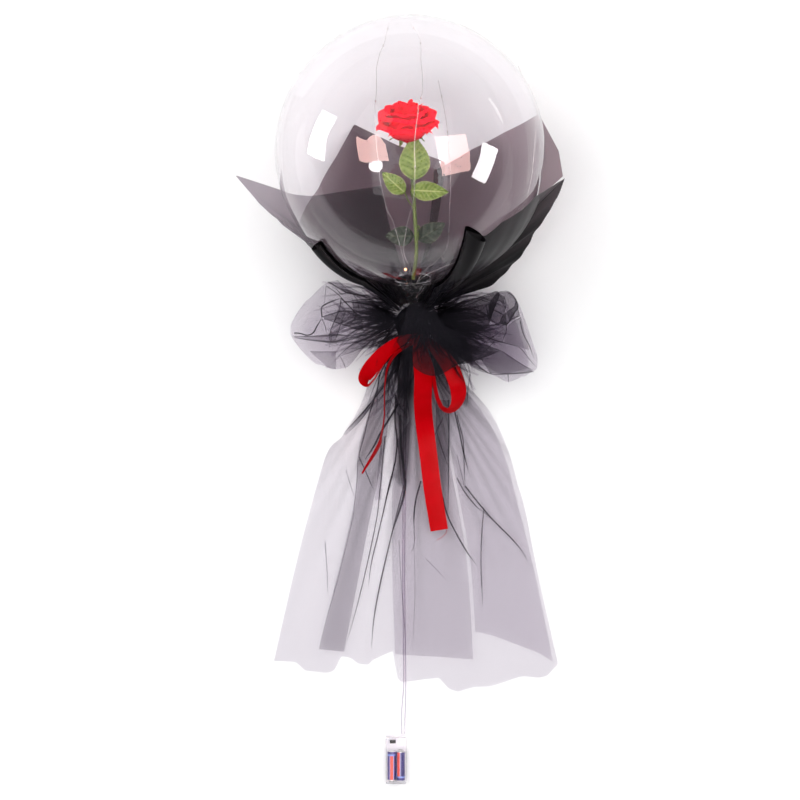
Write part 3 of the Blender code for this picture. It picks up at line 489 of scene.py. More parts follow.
class Look:
    """A Principled material being put together."""

    def __init__(self, name):
        self.material = bpy.data.materials.new(name)
        self.material.use_nodes = True
        self.tree = self.material.node_tree
        self.shader = self.tree.nodes["Principled BSDF"]
        self.output = self.tree.nodes["Material Output"]

    def set(self, **values):
        """Plain values of the shader."""
        for key, value in values.items():
            socket = self.shader.inputs[key.replace("_", " ")]
            socket.default_value = (*value, 1.0) if isinstance(value, tuple) else value
        return self

    def node(self, kind, **values):
        """A new node with its settings and plain inputs."""
        made = self.tree.nodes.new(kind)
        for key, value in values.items():
            if hasattr(made, key):
                setattr(made, key, value)
            else:
                made.inputs[key.replace("_", " ")].default_value = value
        return made

    def link(self, source, target):
        self.tree.links.new(source, target)

    def scaled(self, source, size):
        """A vector divided by a size."""
        made = self.node("ShaderNodeVectorMath", operation="SCALE")
        made.inputs["Scale"].default_value = 1 / size
        self.link(source, made.inputs[0])
        return made.outputs[0]

    def cloth(self, size):
        """Cloth coordinates, one unit for each size in metres."""
        return self.scaled(self.node("ShaderNodeUVMap", uv_map="cloth").outputs[0], size)

    def place(self, size):
        """Object coordinates, one unit for each size in metres."""
        return self.scaled(self.node("ShaderNodeTexCoord").outputs["Object"], size)

    def noise(self, vector, detail=3.0):
        """Soft noise, one unit across."""
        made = self.node("ShaderNodeTexNoise", Detail=detail, Roughness=0.5, Scale=1.0)
        self.link(vector, made.inputs["Vector"])
        return made.outputs["Fac"]

    def field(self, name):
        """A value that the mesh carries at each point."""
        return self.node("ShaderNodeAttribute", attribute_name=name).outputs["Fac"]

    def math(self, operation, a, b=None, clamp=False):
        """A sum of plain values or sockets."""
        made = self.node("ShaderNodeMath", operation=operation, use_clamp=clamp)
        for number, value in enumerate((a, b)):
            if isinstance(value, (int, float)):
                made.inputs[number].default_value = value
            elif value is not None:
                self.link(value, made.inputs[number])
        return made.outputs[0]

    def rest(self, value):
        """What is left of 1."""
        return self.math("SUBTRACT", 1.0, value, clamp=True)

    def spread(self, value, low, high, to_low=0.0, to_high=1.0):
        """The value, taken from low and high to two others."""
        made = self.node("ShaderNodeMapRange", interpolation_type="SMOOTHSTEP")
        self.link(value, made.inputs["Value"])
        for key, number in (("From Min", low), ("From Max", high), ("To Min", to_low),
                ("To Max", to_high)):
            made.inputs[key].default_value = number
        return made.outputs["Result"]

    def blend(self, share, first, second):
        """Two colours mixed by a share."""
        made = self.node("ShaderNodeMix", data_type="RGBA")
        self.link(share, made.inputs["Factor"])
        for key, colour in (("A", first), ("B", second)):
            socket = [s for s in made.inputs if s.name == key and s.type == "RGBA"][0]
            if isinstance(colour, tuple):
                socket.default_value = (*colour, 1.0)
            else:
                self.link(colour, socket)
        return [s for s in made.outputs if s.type == "RGBA"][0]

    def colour(self, source):
        self.link(source, self.shader.inputs["Base Color"])
        return self

    def see_through(self, tint, clear):
        """Show what is behind, tinted, through a share of the cloth where it isn't gathered."""
        open_share = self.math("MULTIPLY", clear, self.rest(self.field("gather")))
        behind = self.node("ShaderNodeBsdfTransparent")
        behind.inputs["Color"].default_value = (*tint, 1.0)
        mix = self.node("ShaderNodeMixShader")
        self.link(self.rest(open_share), mix.inputs[0])
        self.link(behind.outputs[0], mix.inputs[1])
        self.link(self.shader.outputs[0], mix.inputs[2])
        self.link(mix.outputs[0], self.output.inputs["Surface"])

    def bump(self, height, strength, depth):
        made = self.node("ShaderNodeBump", Strength=strength, Distance=depth)
        self.link(height, made.inputs["Height"])
        self.link(made.outputs["Normal"], self.shader.inputs["Normal"])
        return self


def tulle_look(name):
    """Fine net: threads round small cells, closer where the cloth is gathered."""
    look = Look(name).set(Base_Color=(0.012, 0.011, 0.014), Roughness=0.9,
        Specular_IOR_Level=0.0)
    cells = look.node("ShaderNodeTexVoronoi", feature="DISTANCE_TO_EDGE", Randomness=0.8,
        Scale=1.0)
    cells.voronoi_dimensions = "2D"
    look.link(look.cloth(NET_CELL), cells.inputs["Vector"])
    net = look.spread(cells.outputs["Distance"], NET_THREAD * 0.5, NET_THREAD * 1.5, 1.0, 0.0)
    look.colour(look.blend(look.noise(look.cloth(0.02)), (0.008, 0.008, 0.010),
        (0.018, 0.016, 0.021)))
    look.bump(net, 0.4, 0.0002)
    look.see_through(NET_TINT, look.rest(net))
    return look.material


def film_look(name, outer, through, share):
    """Matte wrapping film: translucent and paler at its rim, black where it is gathered."""
    look = Look(name).set(Roughness=0.42, Specular_IOR_Level=0.10)
    clouds = look.noise(look.place(0.05), 4.0)
    grey = look.blend(clouds, outer, tuple(1.35 * c for c in outer))
    look.colour(look.blend(look.field("gather"), grey, (0.004, 0.004, 0.005)))
    fine = look.noise(look.place(0.004), 2.0)
    wide = look.noise(look.place(0.030), 2.0)
    look.bump(look.math("ADD", look.math("MULTIPLY", fine, 0.02), wide), 0.3, 0.0012)
    look.see_through(through, 1 - share)
    return look.material


def clear_look(name, colour, roughness, ior, bump=0.0, size=0.05):
    """Clear skin or plastic, see-through by plain values."""
    look = Look(name).set(Base_Color=colour, Roughness=roughness, IOR=ior,
        Transmission_Weight=1.0)
    if bump:
        look.bump(look.noise(look.place(size), 2.0), 1.0, bump)
    return look.material


def satin_look():
    """Red satin ribbon, with fine threads across it."""
    look = Look("satin").set(Roughness=0.4, Specular_IOR_Level=0.015)
    threads = look.node("ShaderNodeTexWave", bands_direction="Y", Scale=1.0, Distortion=0.4)
    look.link(look.cloth(0.0009), threads.inputs["Vector"])
    broad = look.noise(look.cloth(0.030), 2.0)
    look.colour(look.blend(look.spread(broad, 0.25, 0.75), (0.47, 0.0, 0.002),
        (0.54, 0.0, 0.004)))
    height = look.math("ADD", look.math("MULTIPLY", threads.outputs["Fac"], 0.15), broad)
    look.bump(height, 0.3, 0.0006)
    return look.material


def petal_look():
    """Rose petals: painted shade, deep red in the folds towards each petal's base, bright towards
    the rims.
    """
    look = Look("rose_petals").set(Roughness=0.8, Specular_IOR_Level=0.0)
    ribs = look.noise(look.cloth(0.004), 4.0)
    # The rim value is painted shade: low at each petal's base where the petals overlap, high at
    # the rim.
    rim = look.math("ADD", look.field("rim"), look.math("MULTIPLY", ribs, 0.35))
    # Painted shade: dark red where the rim value is low, bright red where it is high.
    look.colour(look.blend(look.spread(rim, 0.35, 1.15), (0.36, 0.0, 0.006),
        (1.0, 0.005, 0.026)))
    look.bump(ribs, 0.3, 0.0006)
    return look.material


def leaf_look(name, dark, light, edge):
    """A cloth leaf: veins, mottling and a paler saw edge."""
    look = Look(name).set(Roughness=0.7, Specular_IOR_Level=0.05)
    mottle = look.noise(look.cloth(0.006), 4.0)
    base = look.blend(look.spread(mottle, 0.3, 0.7), dark, light)
    look.colour(look.blend(look.field("vein"), base, edge))
    look.bump(look.math("SUBTRACT", mottle, look.field("vein")), 0.5, 0.0006)
    return look.material


def grainy_look(name, dark, light, size, bump, depth, **values):
    """A surface mottled between two colours, with a grain of a size in metres."""
    look = Look(name).set(**values)
    grain = look.noise(look.place(size))
    look.colour(look.blend(grain, dark, light))
    look.bump(grain, bump, depth)
    return look.material


def stem_look():
    """Bark of the stem and the stalks."""
    return grainy_look("stem", (0.06, 0.10, 0.02), (0.20, 0.24, 0.07), 0.006, 0.5, 0.0006,
        Roughness=0.5)


def metal_look(name, colour, roughness):
    """Slightly worn metal."""
    return grainy_look(name, tuple(0.7 * c for c in colour), colour, 0.003, 0.2, 0.0002,
        Metallic=1.0, Roughness=roughness)


def plastic_look(name, colour):
    """Plain plastic with a fine grain."""
    return grainy_look(name, tuple(0.8 * c for c in colour), colour, 0.002, 0.2, 0.0001,
        Roughness=0.4)


def glow_look(name, colour, strength, **values):
    """A surface that gives light."""
    return Look(name).set(Emission_Color=colour, Emission_Strength=strength, **values).material


def cell_look(name, centre, turn, up):
    """Printed sleeve of a cell: bands of colour round it, no words, and metal at its ends."""
    look = Look(name).set(Roughness=0.3, Coat_Weight=0.4)
    shift = look.node("ShaderNodeVectorMath", operation="SUBTRACT")
    shift.inputs[1].default_value = centre
    look.link(look.node("ShaderNodeTexCoord").outputs["Object"], shift.inputs[0])
    parts = look.node("ShaderNodeSeparateXYZ")
    look.link(shift.outputs[0], parts.inputs[0])
    x, y, z = parts.outputs
    angle = look.math("ADD", look.math("ARCTAN2", x, z), turn)
    round_it = look.math("ABSOLUTE", look.math("SINE", look.math("MULTIPLY", angle, 0.5)))
    length = look.math("MULTIPLY", y, up)
    colour = CELL_PANEL
    for place, start, end, beyond in ((round_it, 0.19, 0.21, CELL_PALE),
            (round_it, 0.25, 0.27, CELL_DARK), (length, 0.0165, 0.0170, CELL_BLUE),
            (length, 0.0195, 0.0200, CELL_TOP)):
        colour = look.blend(look.spread(place, start, end), colour, beyond)
    scuffs = look.noise(look.place(0.002), 4.0)
    worn = look.blend(look.spread(scuffs, 0.62, 0.70, 0.0, 0.5), colour, (0.45, 0.42, 0.5))
    end = look.spread(look.math("ABSOLUTE", y), CELL_LENGTH / 2 - 0.0012,
        CELL_LENGTH / 2 - 0.0008)
    look.colour(look.blend(end, worn, (0.72, 0.71, 0.70)))
    look.link(end, look.shader.inputs["Metallic"])
    look.bump(scuffs, 0.2, 0.0001)
    return look.material


def make_camera():
    """The camera straight above the bouquet, with the picture's view."""
    lens = bpy.data.cameras.new("camera")
    lens.sensor_width = SENSOR
    lens.lens = SENSOR * CAMERA.z / (PICTURE * FLOOR_SCALE)
    lens.clip_end = 50.0
    obj = linked("camera", lens)
    obj.location = CAMERA
    bpy.context.scene.camera = obj


def wire_line(route):
    """The places of a lead wire, on the floor or above it."""
    floor = WIRE_DIAMETER / 2 + GAP
    places = [Vector((ROOT.x + across * MM, ROOT.y - down * MM, max(height * TIE.z, floor)))
        for across, down, height in route]
    return curve_through(places, WIRE_POINTS)


def make_leads(look):
    """The two clear leads, each with the line that it follows."""
    made = []
    for name, route in WIRE_ROUTES.items():
        line = wire_line(route)
        obj = tube(name + "_sleeve", line, WIRE_DIAMETER / 2, look)
        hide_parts(name)
        made.append((obj, line))
    return made


def balloon_profile(inset):
    """Radius and distance along the axis from the ball's centre, from the crown to the neck."""
    radius = BALLOON_RADIUS - inset
    neck_start = math.asin(NECK_ROOT_RADIUS / BALLOON_RADIUS)
    profile = []
    for angle in np.linspace(math.pi, neck_start, BALLOON_ROWS + 1):
        profile.append((max(radius * math.sin(angle), CROWN_RADIUS), radius * math.cos(angle)))
    root = profile[-1][1]
    length = BALLOON_RADIUS + NECK_LENGTH - NECK_STOP - root
    for share, narrowing in NECK_SHAPE:
        width = NECK_ROOT_RADIUS + (NECK_END_RADIUS - NECK_ROOT_RADIUS) * narrowing - inset
        profile.append((width, root + length * share))
    return profile


def make_balloon(look):
    """The clear ball as a thin skin with an outer and an inner face, pleated at its neck."""
    outer = balloon_profile(SKIN_OUTSIDE)
    profile = np.array(outer + balloon_profile(SKIN_INSIDE)[::-1] + outer[:1])
    radius, reach = profile[:, :1], profile[:, 1:]
    angle = np.linspace(0.0, 2 * math.pi, BALLOON_SIDES + 1)[None, :]
    pleat = 0.10 * eased((reach - NECK_RING_REACH) / 0.02)
    fold = 1 + pleat * np.cos(18 * angle + 1.5 * np.sin(3 * angle))
    grid = round_axis(BALLOON_CENTRE, radius * fold, reach)
    obj = surface("balloon_skin", [grid], look, closed=True)
    mesh = bmesh.new()
    mesh.from_mesh(obj.data)
    bmesh.ops.remove_doubles(mesh, verts=mesh.verts, dist=2 * CROWN_RADIUS)
    bmesh.ops.recalc_face_normals(mesh, faces=mesh.faces)
    mesh.to_mesh(obj.data)
    mesh.free()
    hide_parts("balloon")


def make_neck(look):
    """The clear ring inside the neck."""
    lean = np.linspace(0.0, 2 * math.pi, 13)[:, None]
    radius = (NECK_RING_RADIUS + NECK_RING_HALF * np.cos(lean)) * np.ones(97)
    grid = round_axis(BALLOON_CENTRE + AXIS * NECK_RING_REACH, radius,
        NECK_RING_HALF * np.sin(lean))
    surface("neck_ring", [grid], look, closed=True)


# How far from the tie each sheet is closely gathered, where that ends, in metres, and the
# share of it that its first columns, under the ball, have
FILM_GATHER = {"film_back_right": (0.05, 0.20, 1.0), "film_back_left": (0.05, 0.14, 1.0),
    "film_left": (0.08, 0.33, 0.30), "film_front_right": (0.14, 0.46, 1.0)}


def film_edge(edge, reach):
    """The places of a sheet's edge, on the ball where the list gives no height."""
    places = []
    for x, y, z in edge:
        if z in (UNDER, OVER):
            depth = math.sqrt(max(0.0, reach ** 2 - x ** 2 - y ** 2))
            z = -depth if z == UNDER else depth
        places.append(tuple(BALLOON_CENTRE + BALLOON_RADIUS * Vector((x, y, z))))
    length = sum((Vector(a) - Vector(b)).length for a, b in zip(places[:-1], places[1:]))
    return along(places, max(8, int(length / FILM_SPACING)))


def film_rows(edge, layer, nearest):
    """Rows of places on a film sheet, from the tie out to its edge, off the ball."""
    gather = GATHER_RADIUS + layer * GATHER_STEP
    grid = []
    for place in film_edge(edge, nearest / BALLOON_RADIUS):
        place = Vector(place)
        side = (place - TIE) - AXIS * (place - TIE).dot(AXIS)
        start = TIE + side.normalized() * gather
        column = []
        for i in range(FILM_ROWS + 1):
            point = start.lerp(place, (i / FILM_ROWS) ** FILM_CROWDING)
            away = point - BALLOON_CENTRE
            if away.length < nearest:
                point = BALLOON_CENTRE + away.normalized() * nearest
            point.z = max(point.z, FILM_THICKNESS / 2)
            column.append(tuple(point))
        grid.append(column)
    return np.array(grid)


# The rolled front edge of a sheet: which end of its rows, and the radius at its mouth
FILM_ROLLS = {"film_left": (-1, 0.0125), "film_front_right": (0, 0.0220)}
ROLL_TURN = math.radians(320)
ROLL_AT_TIE = 0.002
ROLL_STEPS = 24
FILM_SPACING = 0.005
FILM_ROWS = 48
FILM_WAVE = 0.46


def rolled(grid, end, radius):
    """Rows that roll the sheet's front edge up into a tube, narrowing towards the tie."""
    edge, beside = (grid[-1], grid[-4]) if end == -1 else (grid[0], grid[3])
    out = edge - np.array(BALLOON_CENTRE)
    out /= np.linalg.norm(out, axis=1)[:, None]
    away = edge - beside
    away -= out * (away * out).sum(axis=1)[:, None]
    away /= np.maximum(np.linalg.norm(away, axis=1), 1e-9)[:, None]
    share = np.linspace(0.0, 1.0, len(edge)) ** 0.9
    size = (ROLL_AT_TIE + (radius - ROLL_AT_TIE) * share)[:, None]
    rows = []
    for angle in np.linspace(0, ROLL_TURN, ROLL_STEPS + 1)[1:]:
        tight = size * (1 - 0.25 * angle / ROLL_TURN)
        rows.append(edge + tight * (out * math.sin(angle) - away * (1 - math.cos(angle))))
    return np.array(rows)


def film_gather(name, reach, columns, layer):
    """How dark the gathered film is at each point, by its reach from the tie."""
    start, end, least = FILM_GATHER[name]
    gather = 1 - eased((reach - start) / (end - start))
    gather = gather * (least + (1 - least) * eased((columns / len(columns) - 0.35) / 0.3))
    return np.clip(gather + 0.12 * np.sin(columns * FILM_WAVE + layer) * gather, 0, 1)


def make_film(name, layer, edge, look):
    """One sheet of wrapping film, with soft radial folds that fade at the ball."""
    nearest = BALLOON_RADIUS + FILM_CLEARANCE + layer * FILM_STEP
    grid = film_rows(edge, layer, nearest)
    columns = np.arange(len(grid))[:, None]
    reach = np.linalg.norm(grid - np.array(TIE), axis=2)
    out = grid - np.array(BALLOON_CENTRE)
    gap = np.linalg.norm(out, axis=2)
    waves = np.sin(columns * FILM_WAVE + layer) + 0.6 * np.sin(columns * 0.94 + 2 * layer)
    size = 0.0012 * eased(reach / 0.03) * (0.4 + eased((gap - nearest) / 0.02))
    size = size * (1 - eased((reach - 0.16) / 0.2))
    grid = grid + out * (size * waves / gap)[..., None]
    gather = film_gather(name, reach, columns, layer)
    if name in FILM_ROLLS:
        end, radius = FILM_ROLLS[name]
        rows = rolled(grid, end, radius)
        dark = np.ones(rows.shape[:2])
        if end == -1:
            grid, gather = np.concatenate([grid, rows]), np.concatenate([gather, dark])
        else:
            grid, gather = np.concatenate([rows[::-1], grid]), np.concatenate([dark, gather])
    grid[..., 2] = np.maximum(grid[..., 2], FILM_THICKNESS / 2)
    obj = surface(name + "_sheet", [grid], look, {"gather": [gather]})
    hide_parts(name)
    return obj


def skirt_height(across, down, layer):
    """Height of the middle of a skirt layer, across and down from the root in metres."""
    reach = np.hypot(across, down)
    drop = 1 - eased((reach - SKIRT_START - layer * SKIRT_STEP) / SKIRT_FALL)
    size = FOLD_LOW + (FOLD_HIGH - FOLD_LOW) * (1 - eased((reach - SKIRT_FALL) / FOLD_FADE))
    size = size * eased(reach / SKIRT_FALL)
    wide = FOLD_ANGLE * (1 + FOLD_SPREAD * (1 - eased((reach - SKIRT_FALL) / SKIRT_FALL)))
    turn = (np.arctan2(across, down) - np.arctan2(FOLD_CREST, reach)) / wide
    fold = size * (0.5 + 0.5 * np.cos(2 * math.pi * turn))
    return 0.0004 + (ROOT.z - SKIRT_TOP_DROP) * drop + fold + layer * SKIRT_STEP


# Folds of the skirt: width in millimetres, strength and picture points from the knot down
SKIRT_STRANDS = [
    (2.2, 0.80, [(396, 370), (384, 386), (370, 404), (357, 419), (345, 432), (343, 437)]),
    (2.0, 0.80, [(380, 372), (377, 390), (370, 412), (363, 440), (359, 457), (364, 467)]),
    (1.5, 0.65, [(359, 457), (365, 470), (374, 491)]),
    (3.4, 0.85, [(398, 404), (391, 416), (380, 434), (374, 446), (364, 461)]),
    (3.0, 0.85, [(396, 395), (395, 420), (397, 440), (395, 462), (387, 495), (382, 520)]),
    (1.6, 0.75, [(395, 462), (386, 500), (378, 535), (371, 565), (368, 592)]),
    (4.2, 0.85, [(400, 415), (401, 445), (404, 470), (405, 489), (399, 512), (390, 538)]),
    (2.0, 0.75, [(404, 485), (394, 525), (381, 580), (374, 618), (371, 652)]),
    (2.6, 0.85, [(421, 481), (416, 499), (414, 515), (414, 530)]),
    (1.2, 0.60, [(416, 499), (414, 520), (414, 545), (408, 556)]),
    (1.5, 0.80, [(449, 400), (449, 450), (448, 515)]),
    (2.2, 0.90, [(441, 490), (447, 514), (456, 533), (467, 552), (478, 567)]),
    (2.6, 0.85, [(453, 405), (459, 430), (463, 450), (469, 474)]),
    (1.8, 0.75, [(457, 415), (463, 440), (464, 462), (465, 486)]),
    (1.8, 0.75, [(457, 478), (464, 491), (475, 505), (484, 513)]),
    (2.2, 0.85, [(465, 486), (480, 505), (495, 522), (510, 537), (522, 551), (528, 562)]),
    (1.8, 0.70, [(484, 508), (482, 530), (481, 560), (482, 590), (483, 610)]),
    (1.4, 0.60, [(437, 433), (441, 446), (448, 466)]),
    (1.4, 0.60, [(443, 418), (437, 430), (433, 440)]),
    (1.2, 0.40, [(457, 455), (462, 476), (466, 492)]),
    (1.2, 0.35, [(325, 541), (327, 570), (328, 599)]),
    (1.2, 0.30, [(426, 559), (436, 569), (445, 579)]),
    (1.4, 0.55, [(470, 374), (468, 390), (467, 405)]),
    (1.4, 0.45, [(393, 395), (389, 410), (387, 416), (391, 423)]),
    (1.2, 0.25, [(346, 470), (352, 490), (356, 500)]),
]
SKIRT_EDGES = [
    (1.3, 0.85, [(385, 436), (383, 456), (381, 480), (379, 499), (376.6, 519), (367, 565),
        (356, 610), (344, 651)]),
    (0.9, 0.50, [(358, 460), (357, 480), (354.5, 504), (352.6, 519), (339, 575), (318.6, 648)]),
    (0.9, 0.50, [(399, 540), (401, 580), (404, 620), (406, 656)]),
    (0.8, 0.35, [(414, 545), (415, 590), (413, 640), (412, 655)]),
]
SKIRT_BANDS = [
    ([(385, 400), (381, 440), (377, 480), (375, 500)],
        [(392, 400), (386, 440), (383, 470), (381, 500)], 0.16, (0.35, 0.2)),
    ([(397, 440), (399, 460), (401, 480), (403, 496)],
        [(410, 420), (409, 450), (407, 475), (405, 496)], 0.32, (0.6, 0.3)),
    ([(436, 400), (436, 440), (441, 480), (446, 512)],
        [(449, 400), (449, 440), (449, 480), (448, 514)], 0.34, (0.3, 0.6)),
    ([(369, 404), (357, 420), (344, 433)], [(374, 402), (362, 419), (346, 435)], 0.30,
        (0.5, 0.6)),
    ([(484, 513), (496, 524), (509, 538)], [(480, 508), (493, 520), (507, 536)], 0.25,
        (0.4, 0.4)),
]
# Dense bunches: strength, half width in millimetres and picture points
SKIRT_BUNCHES = [
    (1.00, 15.0, [(405, 318), (405, 360), (405, 390)]),
    (0.60, 11.0, [(405, 385), (404, 430), (403, 480)]),
    (0.50, 12.0, [(450, 345), (458, 375), (464, 398)]),
]


def skirt_gather(grid, base, strands):
    """How closely the threads lie at each point of a skirt sheet."""
    loose = np.full(grid.shape[:2], 1.0 - base)
    for strength, width, points in SKIRT_BUNCHES:
        gap, share = near_line(grid, [spot(x, y, 0.03) for x, y in points])
        fade = 1 - 0.5 * share
        streaks = 0.75 + 0.25 * np.sin(grid[..., 0] * 1900) * np.sin(grid[..., 0] * 1230 + 1)
        loose *= 1 - strength * fade * streaks * np.exp(-(gap / (width * MM)) ** 4)
    across, down = grid[..., 0] - ROOT.x, ROOT.y - grid[..., 1]
    reach = np.hypot(across, down)
    turn = np.arctan2(across, down)
    lines = 0.5 + 0.5 * np.sin(turn * strands) * np.sin(turn * strands * 0.37 + 1.3)
    loose *= 1 - 0.75 * np.exp(-(reach / 0.085) ** 2) * (0.45 + 0.55 * lines)
    loose *= 1 - 0.28 * np.exp(-(reach / 0.26) ** 2) * lines ** 2
    return 1.0 - loose


SKIRTS = {
    "skirt_back": (SKIRT_LEFT_EDGE, SKIRT_RIGHT_EDGE, SKIRT_HEM, 0, 300, 0.02, 60),
    "skirt_streamer": (STREAMER_LEFT_EDGE, STREAMER_RIGHT_EDGE, [(-163, 520), (-120, 525)], 1,
        60, 0.16, 90),
    "skirt_front": (FRONT_LEFT_EDGE, FRONT_RIGHT_EDGE, [(-33, 528), (100, 537)], 2, 120, 0.05,
        75),
    "skirt_side": (SIDE_LEFT_EDGE, SIDE_RIGHT_EDGE, SIDE_HEM, 1, 120, 0.02, 70),
}
SKIRT_ROWS = 200


def make_skirt(name, look):
    """One layer of the skirt as a sheet of net, from the knot to its cut hem."""
    left, right, hem, layer, columns, base, strands = SKIRTS[name]
    first = curve_through(np.array(left) * MM, SKIRT_ROWS + 1)
    last = curve_through(np.array(right) * MM, SKIRT_ROWS + 1)
    hem = np.array(hem) * MM
    share = np.linspace(0.0, 1.0, columns + 1)[None, :]
    across = first[:, :1] * (1 - share) + last[:, :1] * share
    down = first[:, 1:] * (1 - share) + last[:, 1:] * share
    rate = (np.linspace(0.0, 1.0, SKIRT_ROWS + 1)[:, None]) ** 3
    down = down + (np.interp(across[-1], hem[:, 0], hem[:, 1]) - down[-1])[None, :] * rate
    height = skirt_height(across, down, layer)
    grid = np.stack([ROOT.x + across, ROOT.y - down, height], axis=2)
    gather = skirt_gather(grid, base, strands)
    wrinkles = rough(grid * np.array([1.0, 0.35, 0.0]), 0.018, layer + 2)
    reach = np.hypot(across, down)
    grid[..., 2] += 0.0016 * wrinkles * eased(reach / 0.2) + 0.0010 * gather
    grid[..., 2] = np.maximum(grid[..., 2], 0.0003)
    obj = surface(name + "_net", [grid], look, {"gather": [gather]})
    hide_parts(name)
    return obj


# Folds of the bow's puffs: width in millimetres, strength and picture points
LEFT_STRANDS = [
    (2.2, 0.95, [(294, 333), (300, 333.4), (307, 335.2), (313, 333), (317, 326), (320.6, 320),
        (322, 316)]),
    (2.2, 0.90, [(322, 317), (321.5, 308), (326, 304), (334, 300.5), (341.4, 298)]),
    (1.6, 0.80, [(328, 282), (337, 287), (345, 292), (355, 294.5), (368, 296), (382, 300.5),
        (394, 306)]),
    (1.4, 0.70, [(326, 286), (334, 291), (341, 297), (344, 300)]),
    (2.0, 0.90, [(341, 298), (350, 307), (353.5, 311), (356, 313.5), (355, 318), (351.6, 322.7),
        (350, 327.4)]),
    (1.6, 0.85, [(322, 317), (331, 314), (340.5, 311), (350, 310.5)]),
    (1.8, 0.80, [(344, 301.5), (354, 302.4), (368, 304), (382, 306.5), (396, 312)]),
    (1.8, 0.80, [(351.6, 300.5), (363.6, 299.6), (377.5, 299), (388, 301), (398, 307)]),
    (1.4, 0.75, [(341, 298), (339.6, 309), (334, 322), (331, 329), (329.4, 337), (330.3, 343),
        (328.5, 350)]),
    (1.4, 0.70, [(345, 318), (340.5, 325.5), (337.7, 334), (334, 343)]),
    (1.2, 0.65, [(322, 319), (325, 325.5), (326.6, 334)]),
    (1.0, 0.40, [(326, 287), (325, 298), (323, 309)]),
    (1.2, 0.50, [(340.5, 357), (344, 364), (346, 370)]),
    (1.4, 0.60, [(336, 289), (342, 294), (350, 292), (357, 300), (359, 310), (363, 318)]),
    (1.4, 0.70, [(331, 330), (331, 338), (331, 343)]),
]
LEFT_BANDS = [
    ([(324, 317), (331, 314), (340.5, 311), (351, 310.7), (362, 316)],
        [(324, 319), (333, 322), (344, 325.5), (355, 329), (363.6, 330)], 0.42, (0.8, 0.8)),
    ([(340, 288.5), (350, 290), (359, 294), (373, 297)],
        [(344, 292), (355, 295), (368, 298), (378, 300)], 0.40, (0.7, 0.8)),
    ([(352, 303), (362, 300.5), (376, 302), (390, 308)],
        [(353.5, 311), (363.6, 314.4), (377.5, 317), (392, 322)], 0.42, (0.7, 0.7)),
    ([(293, 336), (308, 336), (322, 335), (337, 334), (350, 335), (363.6, 332), (384, 330)],
        [(295, 338), (306, 340), (319, 341.7), (331, 343), (342, 341), (353.5, 337.5),
        (384, 333)], 0.22, (0.6, 0.75)),
    ([(310, 351.4), (320, 351.4), (336, 351.4)], [(326, 366), (330, 368), (336, 369)], 0.18,
        (0.55, 0.3)),
    ([(372, 336), (353.5, 343), (344, 350.5), (338, 356), (331, 364), (325, 367)],
        [(383, 338.5), (372, 346), (361, 348.6), (350, 353), (341, 356), (335, 361),
        (327, 368)], 0.12, (0.55, 0.6)),
    ([(341, 300), (336, 315), (331.5, 330), (330, 342)],
        [(346, 312), (342, 322), (338, 334), (334, 342)], 0.16, (0.3, 0.4)),
    ([(365, 335), (360, 338), (355, 342)], [(378, 340), (380, 347), (362, 347)], 0.18,
        (0.4, 0.4)),
    ([(328, 282), (336, 287), (346, 292)], [(338, 280), (344, 286), (350, 291)], 0.14,
        (0.5, 0.4)),
]
RIGHT_STRANDS = [
    (1.6, 0.80, [(443, 308), (460, 303), (480, 297), (497, 291)]),
    (1.4, 0.70, [(486, 305), (488, 314), (491, 319)]),
    (1.5, 0.80, [(490, 308), (496, 311), (503, 315), (501, 320), (507, 324)]),
    (1.5, 0.75, [(504, 296), (506, 305), (503, 315)]),
    (1.8, 0.85, [(510, 319), (514, 313), (518, 307), (514, 297), (505, 291)]),
    (2.0, 0.90, [(437, 316), (450, 319), (464, 325), (477, 332), (489, 338), (501, 342),
        (515, 346), (520, 349)]),
    (1.6, 0.80, [(520, 320), (523, 333), (529, 345), (534, 358)]),
    (1.4, 0.80, [(502, 351), (512, 358), (523, 365), (535, 371)]),
    (1.4, 0.80, [(473, 360), (482, 369), (492, 374), (508, 374), (526, 373), (535, 371)]),
    (1.2, 0.70, [(508, 374), (508.5, 383)]),
    (1.4, 0.75, [(507, 324), (512, 319), (519, 316), (521, 318)]),
    (1.4, 0.75, [(507, 325), (506, 331), (503, 341)]),
    (1.2, 0.60, [(519, 347), (523, 351), (530, 360), (536, 367)]),
    (1.3, 0.70, [(473, 352), (482, 344), (494, 336), (506, 328)]),
    (1.3, 0.70, [(478, 359), (488, 348), (498, 338)]),
    (1.3, 0.60, [(447, 330), (456, 344), (466, 356)]),
    (1.2, 0.50, [(485, 326), (497, 325), (507, 325)]),
]
